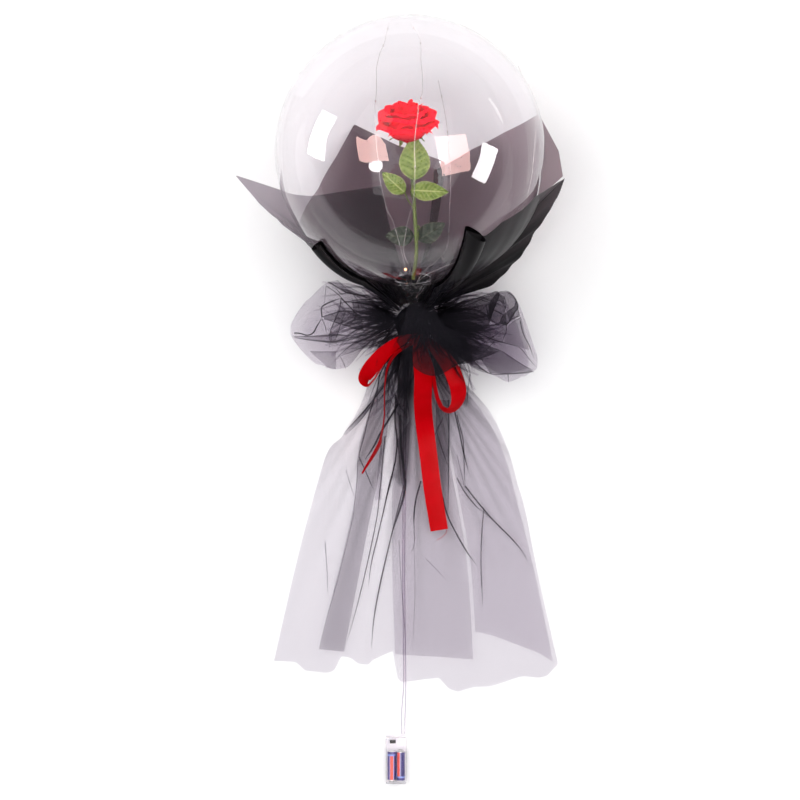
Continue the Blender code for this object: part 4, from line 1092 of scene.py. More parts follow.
RIGHT_BANDS = [
    ([(436, 312), (452, 306), (473, 299), (486, 295), (497, 291), (499, 297), (489, 305)],
        [(438, 330), (448, 327), (462, 328), (474, 332), (484, 330), (489, 325), (488, 318)],
        0.62, (0.6, 0.5)),
    ([(488, 306), (492, 299), (498, 293), (504, 297)],
        [(490, 321), (496, 324), (503, 324), (507, 325)], 0.45, (0.4, 0.6)),
    ([(497, 292), (508, 291), (514, 297), (517, 305), (520, 316)],
        [(490, 301), (499, 301), (504, 307), (507, 314), (510, 322)], 0.38, (0.5, 0.4)),
    ([(438, 330), (452, 333), (470, 338), (490, 346), (501, 350)],
        [(442, 350), (450, 362), (462, 364), (478, 360), (500, 351)], 0.60, (0.3, 0.8)),
    ([(458, 322), (470, 326), (484, 325), (497, 324), (507, 325)],
        [(458, 334), (470, 337), (484, 342), (496, 343), (503, 342)], 0.22, (0.4, 0.4)),
    ([(503, 315), (509, 310), (514, 306), (516, 298)],
        [(499, 323), (507, 325), (512, 318), (518, 308)], 0.50, (0.7, 0.8)),
    ([(506, 330), (512, 322), (521, 317)], [(504, 343), (516, 346), (529, 350)], 0.22,
        (0.5, 0.3)),
    ([(480, 358), (490, 352), (502, 351)], [(490, 373), (510, 374), (534, 372)], 0.36,
        (0.5, 0.7)),
    ([(460, 345), (466, 352), (472, 360)], [(470, 366), (480, 371), (490, 374)], 0.40,
        (0.5, 0.5)),
]


def puff_shell(sections, start, scale, shell):
    """Rows of places round each section of a puff, drawn in towards its start by a scale."""
    across, upper, lower, height, half = (column[:, None] for column in sections.T)
    angle = np.linspace(0.0, 2 * math.pi, PUFF_SIDES + 1)[None, :]
    number = 0.1 * np.arange(len(sections))[:, None] + shell
    fold = scale * (1 + 0.02 * (np.cos(7 * angle + 0.6 * number) - 1))
    x = TIE.x + (start + (across - start) * (0.45 + 0.55 * scale)) * MM
    y = TIE.y + ((upper + lower) / 2 + (upper - lower) / 2 * fold * np.cos(angle)) * MM
    z = TIE.z * (height + half * fold * np.sin(angle))
    return np.stack([np.broadcast_to(x, y.shape), y, z], axis=2)


def crumpled(grid, shell, side):
    """The shell of net with small creases in and out, kept off the floor."""
    out = grid - grid.mean(axis=1, keepdims=True)
    length = np.linalg.norm(out, axis=2)
    crumple = rough(grid, 0.035, shell + 3 + side) + 0.5 * rough(grid, 0.014, shell + 9)
    ridge = 1 - 2 * np.abs(rough(grid, 0.045, shell + 17 + side))
    move = (0.004 * crumple + 0.003 * ridge - 0.004) * eased(length / 0.03)
    grid = grid + out / np.maximum(length, 1e-6)[..., None] * move[..., None]
    grid[..., 2] = np.maximum(grid[..., 2], 0.0008 + 0.002 * shell)
    return grid


def puff_gather(grid, shell, strands):
    """How closely the threads of a puff lie, in lines that start at the knot."""
    angle = np.linspace(0, 2 * math.pi, grid.shape[1])[None, :]
    lines = 0.5 + 0.5 * np.sin(angle * strands + 2 * shell + 3 * rough(grid, 0.06, shell + 5))
    away = np.abs(grid[..., 0] - TIE.x)
    near = np.exp(-np.maximum(away - 0.030, 0) ** 2 / 0.050 ** 2)
    return 0.93 * near * (0.25 + 0.75 * lines ** 2)


def make_puff(name, sections, scales, strands, look):
    """One puff of the bow: loose shells of net inside each other, crumpled and gathered."""
    start = sections[0][0]
    inward = (0.35 * start, *sections[0][1:4], 0.8 * sections[0][4])
    fine = curve_through([inward] + sections, PUFF_ROWS)
    made = []
    for shell, scale in enumerate(scales):
        grid = puff_shell(fine, start, scale, shell)
        grid = crumpled(grid, shell, math.copysign(1.0, start))
        made.append((grid, puff_gather(grid, shell, strands)))
    grids, gathers = zip(*made)
    obj = surface(name + "_net", grids, look, {"gather": gathers}, closed=True)
    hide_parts(name)
    return obj


def make_knot(look):
    """The gathered tulle round the tie, in tight lengthways folds."""
    half = KNOT_LENGTH / 2
    lean = math.pi * np.arange(1, KNOT_ROWS)[:, None] / KNOT_ROWS
    angle = np.linspace(0.0, 2 * math.pi, KNOT_SIDES + 1)[None, :]
    fold = 1 + 0.05 * (np.cos(27 * angle + 2 * np.sin(2 * lean)) - 1)
    fold += 0.03 * np.cos(11 * angle + 3 * lean) - 0.03
    grid = round_axis(TIE + AXIS * (half + GAP), KNOT_RADIUS * fold * np.sin(lean) ** 0.8,
        -half * np.cos(lean))
    gather = np.broadcast_to(0.94 + 0.05 * np.sin(np.arange(KNOT_SIDES + 1) * 1.7),
        grid.shape[:2])
    obj = surface("tulle_knot_net", [grid], look, {"gather": [gather]},
        closed=True)
    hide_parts("tulle_knot")
    return obj


def fan(rng, centre, count, angles, reach):
    """Lines that fan out from the knot in the picture, at random but always the same."""
    lines = []
    for _ in range(count):
        angle = math.radians(rng.uniform(*angles))
        way = np.array([math.cos(angle), math.sin(angle)])
        side = np.array([-way[1], way[0]])
        long = rng.uniform(*reach)
        bend = rng.uniform(-FAN_BEND, FAN_BEND) * long
        first = np.array(centre) + way * FAN_START * rng.uniform(0.1, 1.0)
        first = first + side * rng.uniform(-FAN_SHIFT, FAN_SHIFT)
        last = first + way * long
        lines.append([first, (first + last) / 2 + side * bend, last])
    return lines


# Fans of folds out of the knot: middle, how many, angles and lengths in picture points
KNOT_FANS = [
    ((402, 318), 60, (152, 205), (20, 80)),
    ((428, 318), 70, (-21, 38), (16, 80)),
    ((404, 330), 46, (84, 122), (20, 95)),
    ((438, 335), 34, (58, 92), (20, 70)),
    ((414, 316), 40, (0, 360), (10, 24)),
    ((400, 309), 46, (180, 235), (12, 40)),
    ((430, 309), 46, (-55, 0), (12, 40)),
    ((414, 304), 30, (180, 360), (6, 16)),
    ((398, 330), 30, (120, 165), (16, 44)),
    ((446, 326), 40, (10, 60), (20, 52)),
    ((394, 307), 40, (0, 360), (8, 18)),
    ((434, 307), 40, (0, 360), (8, 18)),
    ((394, 322), 30, (0, 360), (8, 18)),
]
FLAP_FANS = [((428, 322), 60, (20, 150), (14, 40)), ((440, 326), 40, (5, 60), (20, 56))]


def make_fans(name, tree, fans, look):
    """Close folds of net that spread out of the knot over what lies round it."""
    rng = np.random.default_rng(FAN_SEED)
    fade = 1 - np.linspace(0.0, 1.0, FAN_POINTS) ** 1.7
    made = []
    for centre, count, angles, reach in fans:
        for line in fan(rng, centre, count, angles, reach):
            width = rng.uniform(*FAN_WIDTH) * MM
            strength = rng.uniform(*FAN_STRENGTH)
            grid, field = strand(tree, line, width, strength, FAN_LIFT, FAN_POINTS, (0.5, 1.0))
            made.append((grid, field * fade))
    return patches(name, made, look)


def make_folds(name, tree, strands, bands, look, fade=0.0):
    """Folds and overlaps of net on a piece, over the surface that shows in the picture."""
    made = [strand(tree, line, width * FOLD_WIDTH, strength, FOLD_LIFT, FOLD_POINTS, (1.0, 0.0))
        for width, strength, line in strands]
    made += [band(tree, *shape, fade) for shape in bands]
    return patches(name, made, look)


FLAP_START = [(-12, -58, 1.22), (9, -62, 1.25), (30, -58, 1.22)]


def make_flap(look):
    """The flap of net over the ribbon, with its pointed hem."""
    columns, rows = 120, 80
    lines = [curve_through(line, columns + 1) for line in (FLAP_START, FLAP_TOP, FLAP_HEM)]
    share = np.linspace(0.0, 1.0, rows + 1)[:, None, None]
    upper = lines[0][None] * (1 - share * 3) + lines[1][None] * share * 3
    lower = lines[1][None] * (1.5 - share * 1.5) + lines[2][None] * (share * 1.5 - 0.5)
    line = np.where(share < 1 / 3, upper, lower)
    bulge = FLAP_BULGE * np.sin(math.pi * np.clip(share[..., 0] * 1.5 - 0.5, 0, 1))
    folds = np.sin(np.arange(columns + 1) * 0.55)[None, :] * 0.0012 * share[..., 0]
    grid = np.stack([ROOT.x + line[..., 0] * MM, ROOT.y - line[..., 1] * MM,
        TIE.z * line[..., 2] + bulge + folds], axis=2)
    ribs = 0.5 + 0.5 * np.sin(np.arange(columns + 1) * 0.9)[None, :]
    gather = 0.64 + 0.35 * (1 - share[..., 0]) ** 0.8 * (0.7 + 0.3 * ribs)
    gather = np.maximum(gather, 0.8 * (share[..., 0] > 0.985))
    obj = surface("bow_flap_net", [grid], look, {"gather": [gather]})
    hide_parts("bow_flap")
    return obj


def knot_height(x, y):
    """Height of the knot's front at a place in plan, or 0 beside it."""
    middle = TIE + AXIS * (KNOT_LENGTH / 2 + GAP)
    from_middle = Vector((x - middle.x, y - middle.y, 0.0))
    tall = (KNOT_RADIUS / (KNOT_LENGTH / 2)) ** 2 - 1
    a = 1 + tall * AXIS.z ** 2
    b = 2 * tall * AXIS.z * from_middle.dot(AXIS)
    c = from_middle.length_squared + tall * from_middle.dot(AXIS) ** 2 - KNOT_RADIUS ** 2
    inside = b * b - 4 * a * c
    return middle.z + (math.sqrt(inside) - b) / (2 * a) if inside > 0 else 0.0


def resting_height(across, down, lean, width):
    """Height of the ribbon's middle where it lies on the knot or the skirt."""
    half = width / 2
    spread = half * math.cos(lean)
    highest = 0.0
    for share in np.linspace(-1.0, 1.0, 7):
        for x, y in ((across + spread * share, down), (across, down + spread * share)):
            highest = max(highest, float(skirt_height(x, y, 2)),
                knot_height(ROOT.x + x, ROOT.y - y))
    return highest + RIBBON_LIFT + half * math.sin(lean)


def ribbon_knot_middle():
    """The middle of the ribbon's own knot, on the tulle knot."""
    x, y = ROOT.x + RIBBON_KNOT_PLACE.x, ROOT.y - RIBBON_KNOT_PLACE.y
    around = [(x, y), (x - RIBBON_KNOT.x / 2, y), (x + RIBBON_KNOT.x / 2, y),
        (x, y + RIBBON_KNOT.y / 2)]
    return Vector((x, y, max(knot_height(*place) for place in around) + RIBBON_KNOT.z / 2))


def ribbon_path(line):
    """Place, lean and share of the full width at even steps along a strip of ribbon."""
    middle = ribbon_knot_middle()
    stations = []
    for across, down, height, lean, share in line:
        z = middle.z if height is ON_KNOT else TIE.z * height
        stations.append((across * MM, down * MM, z, math.radians(lean), share))
    path = []
    for x, y, z, lean, share in curve_through(stations, RIBBON_STEPS):
        rest = resting_height(x, y, lean, share * RIBBON_WIDTH)
        path.append((ROOT.x + x, ROOT.y - y, max(z, rest), lean, share))
    path = np.array(path)
    path[:, 2] = np.convolve(np.pad(path[:, 2], 2, mode="edge"), np.ones(5) / 5, "valid")
    return path


def ribbon_grid(line):
    """A strip of ribbon as rows of places, a little crowned across."""
    path = ribbon_path(line)
    up = Vector((0, 0, 1))
    grid = []
    side = None
    for i, (x, y, z, lean, share) in enumerate(path):
        before, after = path[max(i - 1, 0)][:3], path[min(i + 1, len(path) - 1)][:3]
        ahead = Vector(after - before).normalized()
        level = ahead.cross(up).normalized()
        if side is not None and level.dot(side) < 0:
            level = -level
        side = level
        wide = level * math.cos(lean) + up * math.sin(lean)
        lift = wide.cross(ahead).normalized()
        if lift.z < 0:
            lift = -lift
        row = []
        for across in np.linspace(-1.0, 1.0, RIBBON_COLUMNS + 1):
            place = Vector((x, y, z)) + wide * (RIBBON_WIDTH * share / 2 * across)
            row.append(place + lift * (RIBBON_CROWN * (1 - across * across)))
        grid.append(row)
    return np.array(grid)


def make_ribbon(look):
    """The satin ribbon: two loops and two tails out of one small knot."""
    grids = [ribbon_grid(line) for line in RIBBON_STRIPS.values()]
    lean = math.pi * np.arange(1, 24) / 24
    grids.append(ball_grid(ribbon_knot_middle(), RIBBON_KNOT / 2, lean, 48, 0.06))
    obj = surface("satin_ribbon_cloth", grids, look)
    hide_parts("satin_ribbon")
    FLAT_SIZES[obj.name] = (RIBBON_WIDTH, *FLAT_SIZES[obj.name][1:])
    thread = [spot(*point) for point in LOOSE_THREAD]
    tube("ribbon_loose_thread", curve_through(thread, 16), 0.0004, look)
    return obj


def petal_grid(turn, ring, seed):
    """One cupped petal round the flower's own axis, as rows of places from base to rim, with its
    painted shade value.
    """
    wide, radius, tall, opening, curl = ring
    v = np.linspace(0.0, 1.0, PETAL_STEPS + 1)[:, None]
    u = np.linspace(-1.0, 1.0, PETAL_STEPS + 1)[None, :]
    spread = wide * (0.30 + 0.70 * np.sin(math.pi * np.clip(v * 0.60 + 0.06, 0, 0.62)))
    angle = turn + u * spread
    shoulder = 1 - 0.10 * u ** 2 - 0.16 * u ** 6 - 0.05 * np.exp(-(u / 0.12) ** 2)
    late = eased((v - 0.62) / 0.38)
    lip = eased((v - 0.86) / 0.14)
    cup = radius * np.sin(0.5 * math.pi * np.clip(v * 1.45 + 0.12, 0, 1)) ** 0.7
    cup = (cup + opening * late - curl * 0.15 * v + curl * lip) * (1 - 0.06 * u ** 2)
    up = tall * v ** 1.05 * (1 + (shoulder - 1) * v) - curl * 0.9 * lip ** 2
    wave = 0.035 * late * np.sin(3.5 * u + seed) + 0.02 * late * np.sin(8 * u + 2 * seed)
    cup, up = cup + wave, up + 0.6 * wave
    grid = ROSE_SIZE * np.stack([cup * np.cos(angle), cup * np.sin(angle), up], axis=2)
    bumps = np.stack([rough(grid, 0.012, seed + k) for k in (0, 5, 9)], axis=2)
    # Painted shade: 0.3 at the petal's base, where the petals overlap, rising to 1 at its rim.
    rim = np.broadcast_to(0.30 + 0.70 * v, grid.shape[:2])
    return grid + 0.0011 * bumps, rim


ROSE_PLACE = (407.5, 124)
ROSE_SIZE = 0.045
# Petal rings from the bud out: how many, half width in radians, and radius, height, opening
# and curl as shares of the flower's size
PETAL_RINGS = [(2, 1.9, 0.14, 1.42, 0.00, 0.02), (3, 1.35, 0.30, 1.46, 0.00, 0.06),
    (3, 1.25, 0.46, 1.44, 0.04, 0.12), (3, 1.25, 0.60, 1.36, 0.08, 0.20),
    (4, 1.00, 0.72, 1.16, 0.14, 0.26), (5, 0.85, 0.76, 0.80, 0.16, 0.24)]
PETAL_STEPS = 24
LEAF_ROWS = 48
LEAF_COLUMNS = 20
LEAF_HEIGHT = BALLOON_CENTRE.z + 0.010
LOWER_LEAF_HEIGHT = BALLOON_CENTRE.z - 0.050
# Leaves: root and tip in the picture, width and how much the tip rises
LEAVES = [((415, 180), (414, 136), 0.052, 0.012), ((405, 193), (382, 172), 0.030, 0.006),
    ((411, 190), (449, 192), 0.033, 0.008)]
LOWER_LEAVES = [((414, 236), (385, 236), 0.034, 0.0), ((418, 240), (445, 223), 0.034, 0.0)]
# Stem and stalks in picture points with their heights
STEM = [(416.5, 250, 0.170), (414.5, 210, 0.195), (413, 185, 0.207), (411, 160, 0.218)]
STALKS = [[(413.5, 208, 0.196), (408, 200, 0.2188), (405, 193, 0.2278)],
    [(413.5, 200, 0.200), (411, 194, 0.2188), (411, 190, 0.2278)],
    [(413, 192, 0.204), (414, 186, 0.2188), (415, 179, 0.2288)],
    [(415, 232, 0.184), (417, 238, 0.172), (414, 236, 0.169)],
    [(415, 232, 0.184), (419, 226, 0.175), (418, 240, 0.169)]]


def make_petals(base, turn, look):
    """The rings of cupped petals, each petal turned and shaped a little differently."""
    made = []
    seed = 1
    for ring, (count, *shape) in enumerate(PETAL_RINGS):
        for k in range(count):
            angle = 2 * math.pi * (k + 0.37 * ring) / count + 0.2 * math.sin(seed * 2.1)
            wide, radius, tall, opening, curl = shape
            radius *= 1 + 0.04 * math.sin(seed * 2.9)
            tall *= 1 + 0.06 * math.sin(seed * 1.7)
            grid, rim = petal_grid(angle, (wide, radius, tall, opening, curl), seed)
            made.append((grid @ np.array(turn).T + np.array(base), rim))
            seed += 1
    # The rim value goes on the mesh and carries the petals' painted shade.
    patches("rose_head", made, look, "rim")


def make_rose(petals, green):
    """The rose head: rings of cupped petals over a ring of sepals."""
    centre = spot(*ROSE_PLACE, BALLOON_CENTRE.z + 0.015)
    turn = Vector((0, 0, 1)).rotation_difference(UP).to_matrix()
    base = centre - UP * (0.62 * ROSE_SIZE)
    make_petals(base, turn, petals)
    made = []
    for k in range(5):
        angle = 2 * math.pi * k / 5 + 0.5
        tip = Vector((0.030 * math.cos(angle), 0.030 * math.sin(angle),
            -0.004 + 0.006 * math.sin(k)))
        made.append(leaf_grid(base + UP * 0.004, base + turn @ tip, 0.013, UP, 0.004, 0.0))
    patches("rose_sepals", made, green, "vein")
    return base


def leaf_grid(root, tip, width, facing, cup, saw):
    """One leaf from its root to its tip, cupped along the middle, with a saw edge."""
    ahead = tip - root
    side = ahead.cross(facing).normalized()
    out = side.cross(ahead).normalized()
    v = np.linspace(0.0, 1.0, LEAF_ROWS + 1)[:, None]
    u = np.linspace(-1.0, 1.0, LEAF_COLUMNS + 1)[None, :]
    outline = np.sin(math.pi * v ** 0.78) ** 0.85 * (1 - 0.12 * v)
    teeth = 1 + saw * (np.abs((v * 15) % 1.0 - 0.5) - 0.25) * np.abs(u) ** 6
    across = u * outline * teeth * width / 2
    ridge = cup * (np.abs(u) ** 1.5 - 0.2) * outline
    droop = cup * 1.2 * np.sin(math.pi * v) + 0.0008 * np.sin(v * 26 - np.abs(u) * 5)
    grid = np.array(root) + v[..., None] * np.array(ahead)
    grid = grid + across[..., None] * np.array(side) + (ridge + droop)[..., None] * np.array(out)
    middle = np.exp(-(np.abs(u) / 0.055) ** 2)
    ribs = 0.45 * np.exp(-(((v * 9 - np.abs(u) * 1.6) % 1.0 - 0.5) / 0.10) ** 2)
    edge = 0.7 * np.clip((np.abs(u) - 0.86) / 0.14, 0, 1)
    return grid, np.clip(np.maximum(np.maximum(middle, ribs * (np.abs(u) < 0.9)), edge), 0, 1)


def make_leaves(name, leaves, height, cup, look):
    """Leaves at a height: root and tip in the picture, width, and how much the tip rises."""
    facing = Vector((0.0, -0.15, 1.0)).normalized()
    made = [leaf_grid(spot(*root, height), spot(*tip, height + rise), width, facing, cup, 0.16)
        for root, tip, width, rise in leaves]
    patches(name, made, look, "vein")


def make_stem(base, look):
    """The stem from the neck to the flower, and the leaf stalks."""
    foot = BALLOON_CENTRE + AXIS * (BALLOON_RADIUS - 0.004)
    line = [foot] + [spot(*point) for point in STEM] + [base]
    tube("rose_stem", curve_through(line, 40), STEM_RADIUS, look)
    for number, stalk in enumerate(STALKS):
        places = [spot(*point) for point in stalk]
        tube("rose_stalk_%d" % number, curve_through(places, 14), STALK_RADIUS, look)


# Light strings inside the ball: which face of the ball they lie near, and picture points
LIGHT_STRINGS = [
    (1, [(389, 22), (385, 41), (377.5, 62), (376, 95), (375, 130), (380, 178), (386, 206),
        (394, 224), (406, 269)]),
    (1, [(410, 22), (420, 39), (421, 59), (422, 93), (418, 108), (415, 141), (415, 173),
        (413, 202), (408, 223), (403.5, 249), (410, 269)]),
    (-1, [(438, 80), (445, 113), (449, 152), (451, 180), (449, 223), (446, 250), (424, 272)]),
    (-1, [(518, 66), (536, 104), (535, 140), (524, 205), (480, 250), (428, 274)]),
]
STRING_RADIUS = 0.205


def make_lights(wire, bead, glow):
    """Fine wires with small bead lights, loose inside the ball, and the one that is lit."""
    foot = BALLOON_CENTRE + AXIS * (BALLOON_RADIUS + 0.012)
    beads = []
    for number, (face, points) in enumerate(LIGHT_STRINGS):
        line = [on_ball(x, y, STRING_RADIUS, face, 12, 0.5) for x, y in points]
        line.append((foot.x + 0.003 * (number - 1.5), foot.y, foot.z))
        fine = curve_through(line, 160)
        wobble = np.stack([rough(fine, 0.02, number + k) for k in (1, 4, 8)], axis=1)
        fine = fine + 0.0012 * wobble
        tube("light_wire_%d" % number, fine, STRING_WIRE, wire)
        beads += list(fine[12:150:23])
    grids = [ball_grid(place, BEAD_SIZE, bead_leans(8), 8) for place in beads]
    surface("light_beads", grids, bead, closed=True)
    lit = ball_grid(spot(*LIT_PLACE), LIT_SIZE, bead_leans(14), 14)
    surface("lit_bead", [lit], glow, closed=True)


def bead_leans(count):
    """Leans of a bead's rows, a little short of its poles."""
    return np.linspace(0.02, math.pi - 0.02, count + 1)


def finish_cells():
    """The sleeves of the two cells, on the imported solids."""
    for number, name in enumerate(CELLS):
        low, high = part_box(name)
        look = cell_look(name + "_print", (low + high) / 2, 0.58 * number, 1 - 2 * number)
        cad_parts[name].data.materials[0] = look


def make_springs(look):
    """A coil spring at one end of each cell, inside the clear case."""
    step = np.arange(60)
    angle = 2 * math.pi * step / 15
    radius = 0.0042 - 0.0018 * step / 59
    for number, name in enumerate(CELLS):
        low, high = (Vector(corner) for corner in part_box(name))
        middle = (low + high) / 2
        end, way = (high.y, 1) if number else (low.y, -1)
        coil = np.stack([middle.x + radius * np.cos(angle),
            end + way * (0.0028 - 0.0024 * step / 59), middle.z + radius * np.sin(angle)], axis=1)
        tube("contact_spring_%d" % number, coil, SPRING_WIRE, look)


def make_switch_body(look):
    """The switch's body under the slider."""
    low, high = (Vector(corner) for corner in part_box("switch_slider"))
    top = low.z - 0.0003
    rounded_box("switch_body", Vector((low.x - 0.0012, low.y - 0.0002, top - 0.0045)),
        Vector((high.x + 0.0037, high.y + 0.0002, top)), 0.0004, look)


def rounded_box(name, low, high, edge, look):
    """A box with softened edges."""
    mesh = bmesh.new()
    bmesh.ops.create_cube(mesh, size=1.0)
    bmesh.ops.scale(mesh, vec=high - low, verts=mesh.verts)
    bmesh.ops.translate(mesh, vec=(low + high) / 2, verts=mesh.verts)
    bmesh.ops.bevel(mesh, geom=mesh.edges[:], offset=edge, segments=3, profile=0.5,
        affect="EDGES")
    data = bpy.data.meshes.new(name)
    mesh.to_mesh(data)
    mesh.free()
    data.shade_smooth()
    data.set_sharp_from_angle(angle=math.radians(40))
    piece(name, data, look)


def make_floor():
    """A wide pale floor."""
    mesh = bpy.data.meshes.new("floor")
    mesh.from_pydata([(-FLOOR_HALF, -FLOOR_HALF, 0), (FLOOR_HALF, -FLOOR_HALF, 0),
        (FLOOR_HALF, FLOOR_HALF, 0), (-FLOOR_HALF, FLOOR_HALF, 0)], [], [(0, 1, 2, 3)])
    look = Look("floor").set(Base_Color=(0.97, 0.97, 0.97), Roughness=0.9,
        Specular_IOR_Level=0.1)
    mesh.materials.append(look.material)
    floor = linked("floor", mesh)
    floor.location.z = -0.0004


def make_stage():
    """Pale floor, soft studio light and the cards that the ball mirrors."""
    make_floor()
    world = bpy.data.worlds.new("studio")
    world.use_nodes = True
    sky = world.node_tree.nodes["Background"]
    sky.inputs["Color"].default_value = (0.98, 0.98, 1.0, 1.0)
    sky.inputs["Strength"].default_value = SKY_STRENGTH
    bpy.context.scene.world = world
    soft_lamp("ceiling", (0.0, 0.0, 6.0), 8.0, CEILING_POWER)
    soft_lamp("key", (-1.8, 1.0, 3.2), 1.6, KEY_POWER)
    make_mirrored()


def soft_lamp(name, place, size, power):
    """A large square lamp that faces the bouquet and that the ball doesn't mirror."""
    lamp = bpy.data.lights.new(name, "AREA")
    lamp.shape = "SQUARE"
    lamp.size = size
    lamp.energy = power
    obj = linked(name, lamp)
    obj.location = place
    aim = Vector((0, -0.3, 0.1)) - Vector(place)
    obj.rotation_euler = aim.to_track_quat("-Z", "Y").to_euler()
    obj.visible_glossy = False


# Patches that the ball mirrors: brightness, colour and outline in picture points
WHITE, ROSY = (1.0, 0.98, 1.0), (1.0, 0.62, 0.56)
MIRRORED = {
    "window_left": (34.0, WHITE, [(323, 110), (338, 117), (327.4, 136), (325, 162),
        (307, 153.3), (311.5, 132.4)]),
    "window_right": (56.0, WHITE, [(483, 142), (498.4, 149.4), (493, 166), (485, 184.3),
        (471.3, 177)]),
    "rosy_left": (44.0, ROSY, [(356, 136), (364.7, 140.4), (372, 135.5), (378, 133.7),
        (385.5, 144.7), (389, 161), (379.4, 160.6), (364.7, 163), (359, 160), (357, 149.6)]),
    "rosy_right": (36.0, ROSY, [(434, 137.4), (465, 134), (469.5, 149.4), (470.7, 170),
        (442.4, 176), (440.6, 165)]),
    "pale_right": (60.0, WHITE, [(434, 137.4), (465, 134), (468, 146), (446, 162),
        (440, 165)]),
    "strip_right": (14.0, WHITE, [(525, 135.6), (531, 147), (527.3, 170), (518.3, 199.4),
        (514, 196.4), (521.3, 176)]),
    "arc_right": (12.0, WHITE, [(489, 97), (498, 109), (504, 123), (502.5, 123.5),
        (496, 110.5), (488, 99)]),
}
ROUND_CARD = (64.0, (375.8, 165.5), 7.4)
# Crescents along the ball's rim: brightness, inner and outer radius in picture points from
# the ball's middle, and the angles between which they run
CRESCENTS = [(2.4, 126.0, 132.0, -14, 17), (3.0, 120.5, 122.0, -20, 24),
    (2.2, 116.0, 118.5, -4, 16), (3.0, 123.0, 126.0, 163, 208), (3.2, 116.5, 118.5, 168, 214),
    (3.4, 110.0, 111.6, 172, 222), (2.4, 128.5, 131.5, 158, 200),
    (3.0, 104.0, 105.0, 196, 226)]
BALL_MIDDLE = (410.0, 152.0)
CARD_DISTANCE = 1.7


def bounce(x, y):
    """Where the ball's front mirrors a picture point to, at the cards' distance."""
    place = on_ball(x, y, BALLOON_RADIUS, 1, 23, 1.0, 1e-6)
    normal = (place - BALLOON_CENTRE).normalized()
    view = (place - CAMERA).normalized()
    return place + (view - 2 * view.dot(normal) * normal).normalized() * CARD_DISTANCE


def card(name, strength, colour, outline):
    """A glowing card, seen by nothing but shiny surfaces, that the ball mirrors."""
    corners = [bounce(x, y) for x, y in outline]
    middle = sum(corners, Vector()) / len(corners)
    faces = [(i, (i + 1) % len(corners), len(corners)) for i in range(len(corners))]
    mesh = bpy.data.meshes.new(name)
    mesh.from_pydata([tuple(c) for c in corners] + [tuple(middle)], [], faces)
    mesh.materials.append(glow_look(name, colour, strength, Base_Color=(0.0, 0.0, 0.0)))
    obj = linked(name, mesh)
    obj.visible_camera = False
    obj.visible_diffuse = False
    obj.visible_shadow = False
    obj.visible_transmission = False


def crescent(inner, outer, start, end):
    """The outline of a thin arc along the ball's rim, pointed at both ends."""
    outline = []
    for radius, angles in ((outer, np.linspace(start, end, 15)),
            (inner, np.linspace(end, start, 15))):
        for angle in angles:
            share = (angle - start) / (end - start)
            size = outer + (radius - outer) * min(1.0, 4 * share, 4 * (1 - share))
            turn = math.radians(angle)
            outline.append((BALL_MIDDLE[0] + size * math.cos(turn),
                BALL_MIDDLE[1] - size * math.sin(turn)))
    return outline


def make_mirrored():
    """All the cards that the ball mirrors."""
    for name, (strength, colour, outline) in MIRRORED.items():
        card(name, strength, colour, outline)
    strength, middle, radius = ROUND_CARD
    corners = [math.pi * (k + 0.5) / 4 for k in range(8)]
    card("lamp_round", strength, WHITE, [(middle[0] + radius * math.cos(angle),
        middle[1] + radius * math.sin(angle)) for angle in corners])
    for number, (strength, *shape) in enumerate(CRESCENTS):
        outline = crescent(*shape)
        for k in range(len(outline) // 2 - 1):
            strip = [outline[k], outline[k + 1], outline[-2 - k], outline[-1 - k]]
            card("crescent_%d_%d" % (number, k), strength, WHITE, strip)


def declare_sheet(obj, layers=1):
    """Width and area, for each layer, of a sheet of cloth or film cut to the size of its own grid;
    nothing is done with them.
    """
    width, length, area = FLAT_SIZES[obj.name]
    width, area = width / layers, area / layers


def make_films():
    """The four sheets of wrapping film, the two at the back of one look."""
    left = film_look("film_left", (0.040, 0.037, 0.040), (0.84, 0.75, 0.83), 0.55)
    right = film_look("film_right", (0.022, 0.021, 0.023), (0.78, 0.64, 0.71), 0.84)
    back = film_look("film_back", (0.018, 0.015, 0.017), (0.70, 0.56, 0.61), 0.50)
    looks = (back, back, left, right)
    return [make_film(name, layer, edge, look)
        for (name, (layer, edge)), look in zip(FILMS.items(), looks)]


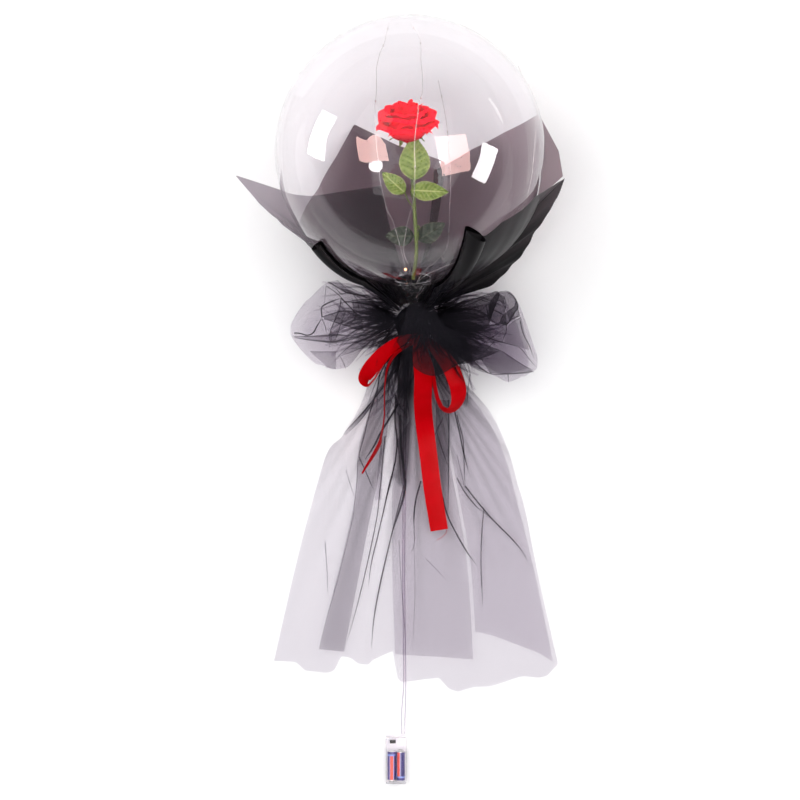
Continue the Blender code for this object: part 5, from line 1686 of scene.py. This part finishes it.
def make_cloth():
    """Film, net and ribbon with the folds that lie on them."""
    films = make_films()
    net = tulle_look("net")
    knot = make_knot(net)
    left = make_puff("bow_puff_left", BOW_LEFT, (1.0,), 23, net)
    right = make_puff("bow_puff_right", BOW_RIGHT, (1.0, 0.84), 21, net)
    flap = make_flap(net)
    skirts = [make_skirt(name, net) for name in SKIRTS]
    fans = make_fans("knot_fans", tree_of(knot, left, right, *films, *skirts), KNOT_FANS, net)
    flap_fans = make_fans("flap_fans", tree_of(flap, knot), FLAP_FANS, net)
    left_folds = make_folds("bow_left_folds", tree_of(left, knot), LEFT_STRANDS, LEFT_BANDS, net)
    right_folds = make_folds("bow_right_folds", tree_of(right, knot), RIGHT_STRANDS,
        RIGHT_BANDS, net)
    skirt_folds = make_folds("skirt_folds", tree_of(*skirts), SKIRT_STRANDS + SKIRT_EDGES,
        SKIRT_BANDS, net, 0.9)
    ribbon = make_ribbon(satin_look())
    for film in films:
        declare_sheet(film)
    declare_sheet(knot, 2)
    declare_sheet(left, 2)
    declare_sheet(right, 2)
    declare_sheet(flap)
    for skirt, folds in zip(skirts, ([skirt_folds], [], [], [])):
        declare_sheet(skirt)
    declare_sheet(ribbon)


def make_flower():
    """The rose with its leaves and stem, sealed in the ball."""
    green = leaf_look("leaf", (0.10, 0.155, 0.034), (0.19, 0.25, 0.065), (0.36, 0.39, 0.17))
    # Painted shade: the lower leaves, deep in the ball, take a much darker copy of the leaf
    # colours.
    shade = leaf_look("lower_leaf_painted_shade", (0.035, 0.045, 0.036), (0.07, 0.08, 0.066),
        (0.10, 0.11, 0.08))
    base = make_rose(petal_look(), green)
    make_leaves("rose_leaves", LEAVES, LEAF_HEIGHT, 0.004, green)
    make_leaves("rose_lower_leaves", LOWER_LEAVES, LOWER_LEAF_HEIGHT, 0.003, shade)
    make_stem(base, stem_look())


def finish_case():
    """The case's clear plastic, its cells, springs and switch."""
    black = plastic_look("black_plastic", (0.025, 0.025, 0.028))
    clear = clear_look("clear_case", (0.985, 0.975, 0.995), 0.04, 1.09, 0.0001, 0.01)
    finish_cells()
    make_springs(metal_look("spring_metal", (0.75, 0.74, 0.72), 0.3))
    make_switch_body(black)
    for name, look in (("battery_case", clear), ("battery_cover", clear),
            ("switch_slider", black)):
        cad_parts[name].data.materials[0] = look


def main():
    """Put the whole scene together."""
    scene = bpy.context.scene
    scene.view_settings.view_transform = "Standard"
    scene.cycles.transparent_max_bounces = 32
    make_camera()
    leads = make_leads(clear_look("clear_sleeve", (0.70, 0.66, 0.74), 0.15, 1.35, 0.0002, 0.003))
    skin = clear_look("balloon_skin", (0.996, 0.985, 1.0), 0.0, 1.28)
    make_balloon(skin)
    make_neck(skin)
    make_cloth()
    make_flower()
    make_lights(metal_look("silver_wire", (0.86, 0.80, 0.78), 0.25),
        clear_look("bead_glass", (1.0, 0.9, 0.85), 0.05, 1.45),
        glow_look("lit_bead", LIT, 4.0, Base_Color=LIT, Roughness=0.2))
    finish_case()
    make_stage()


main()
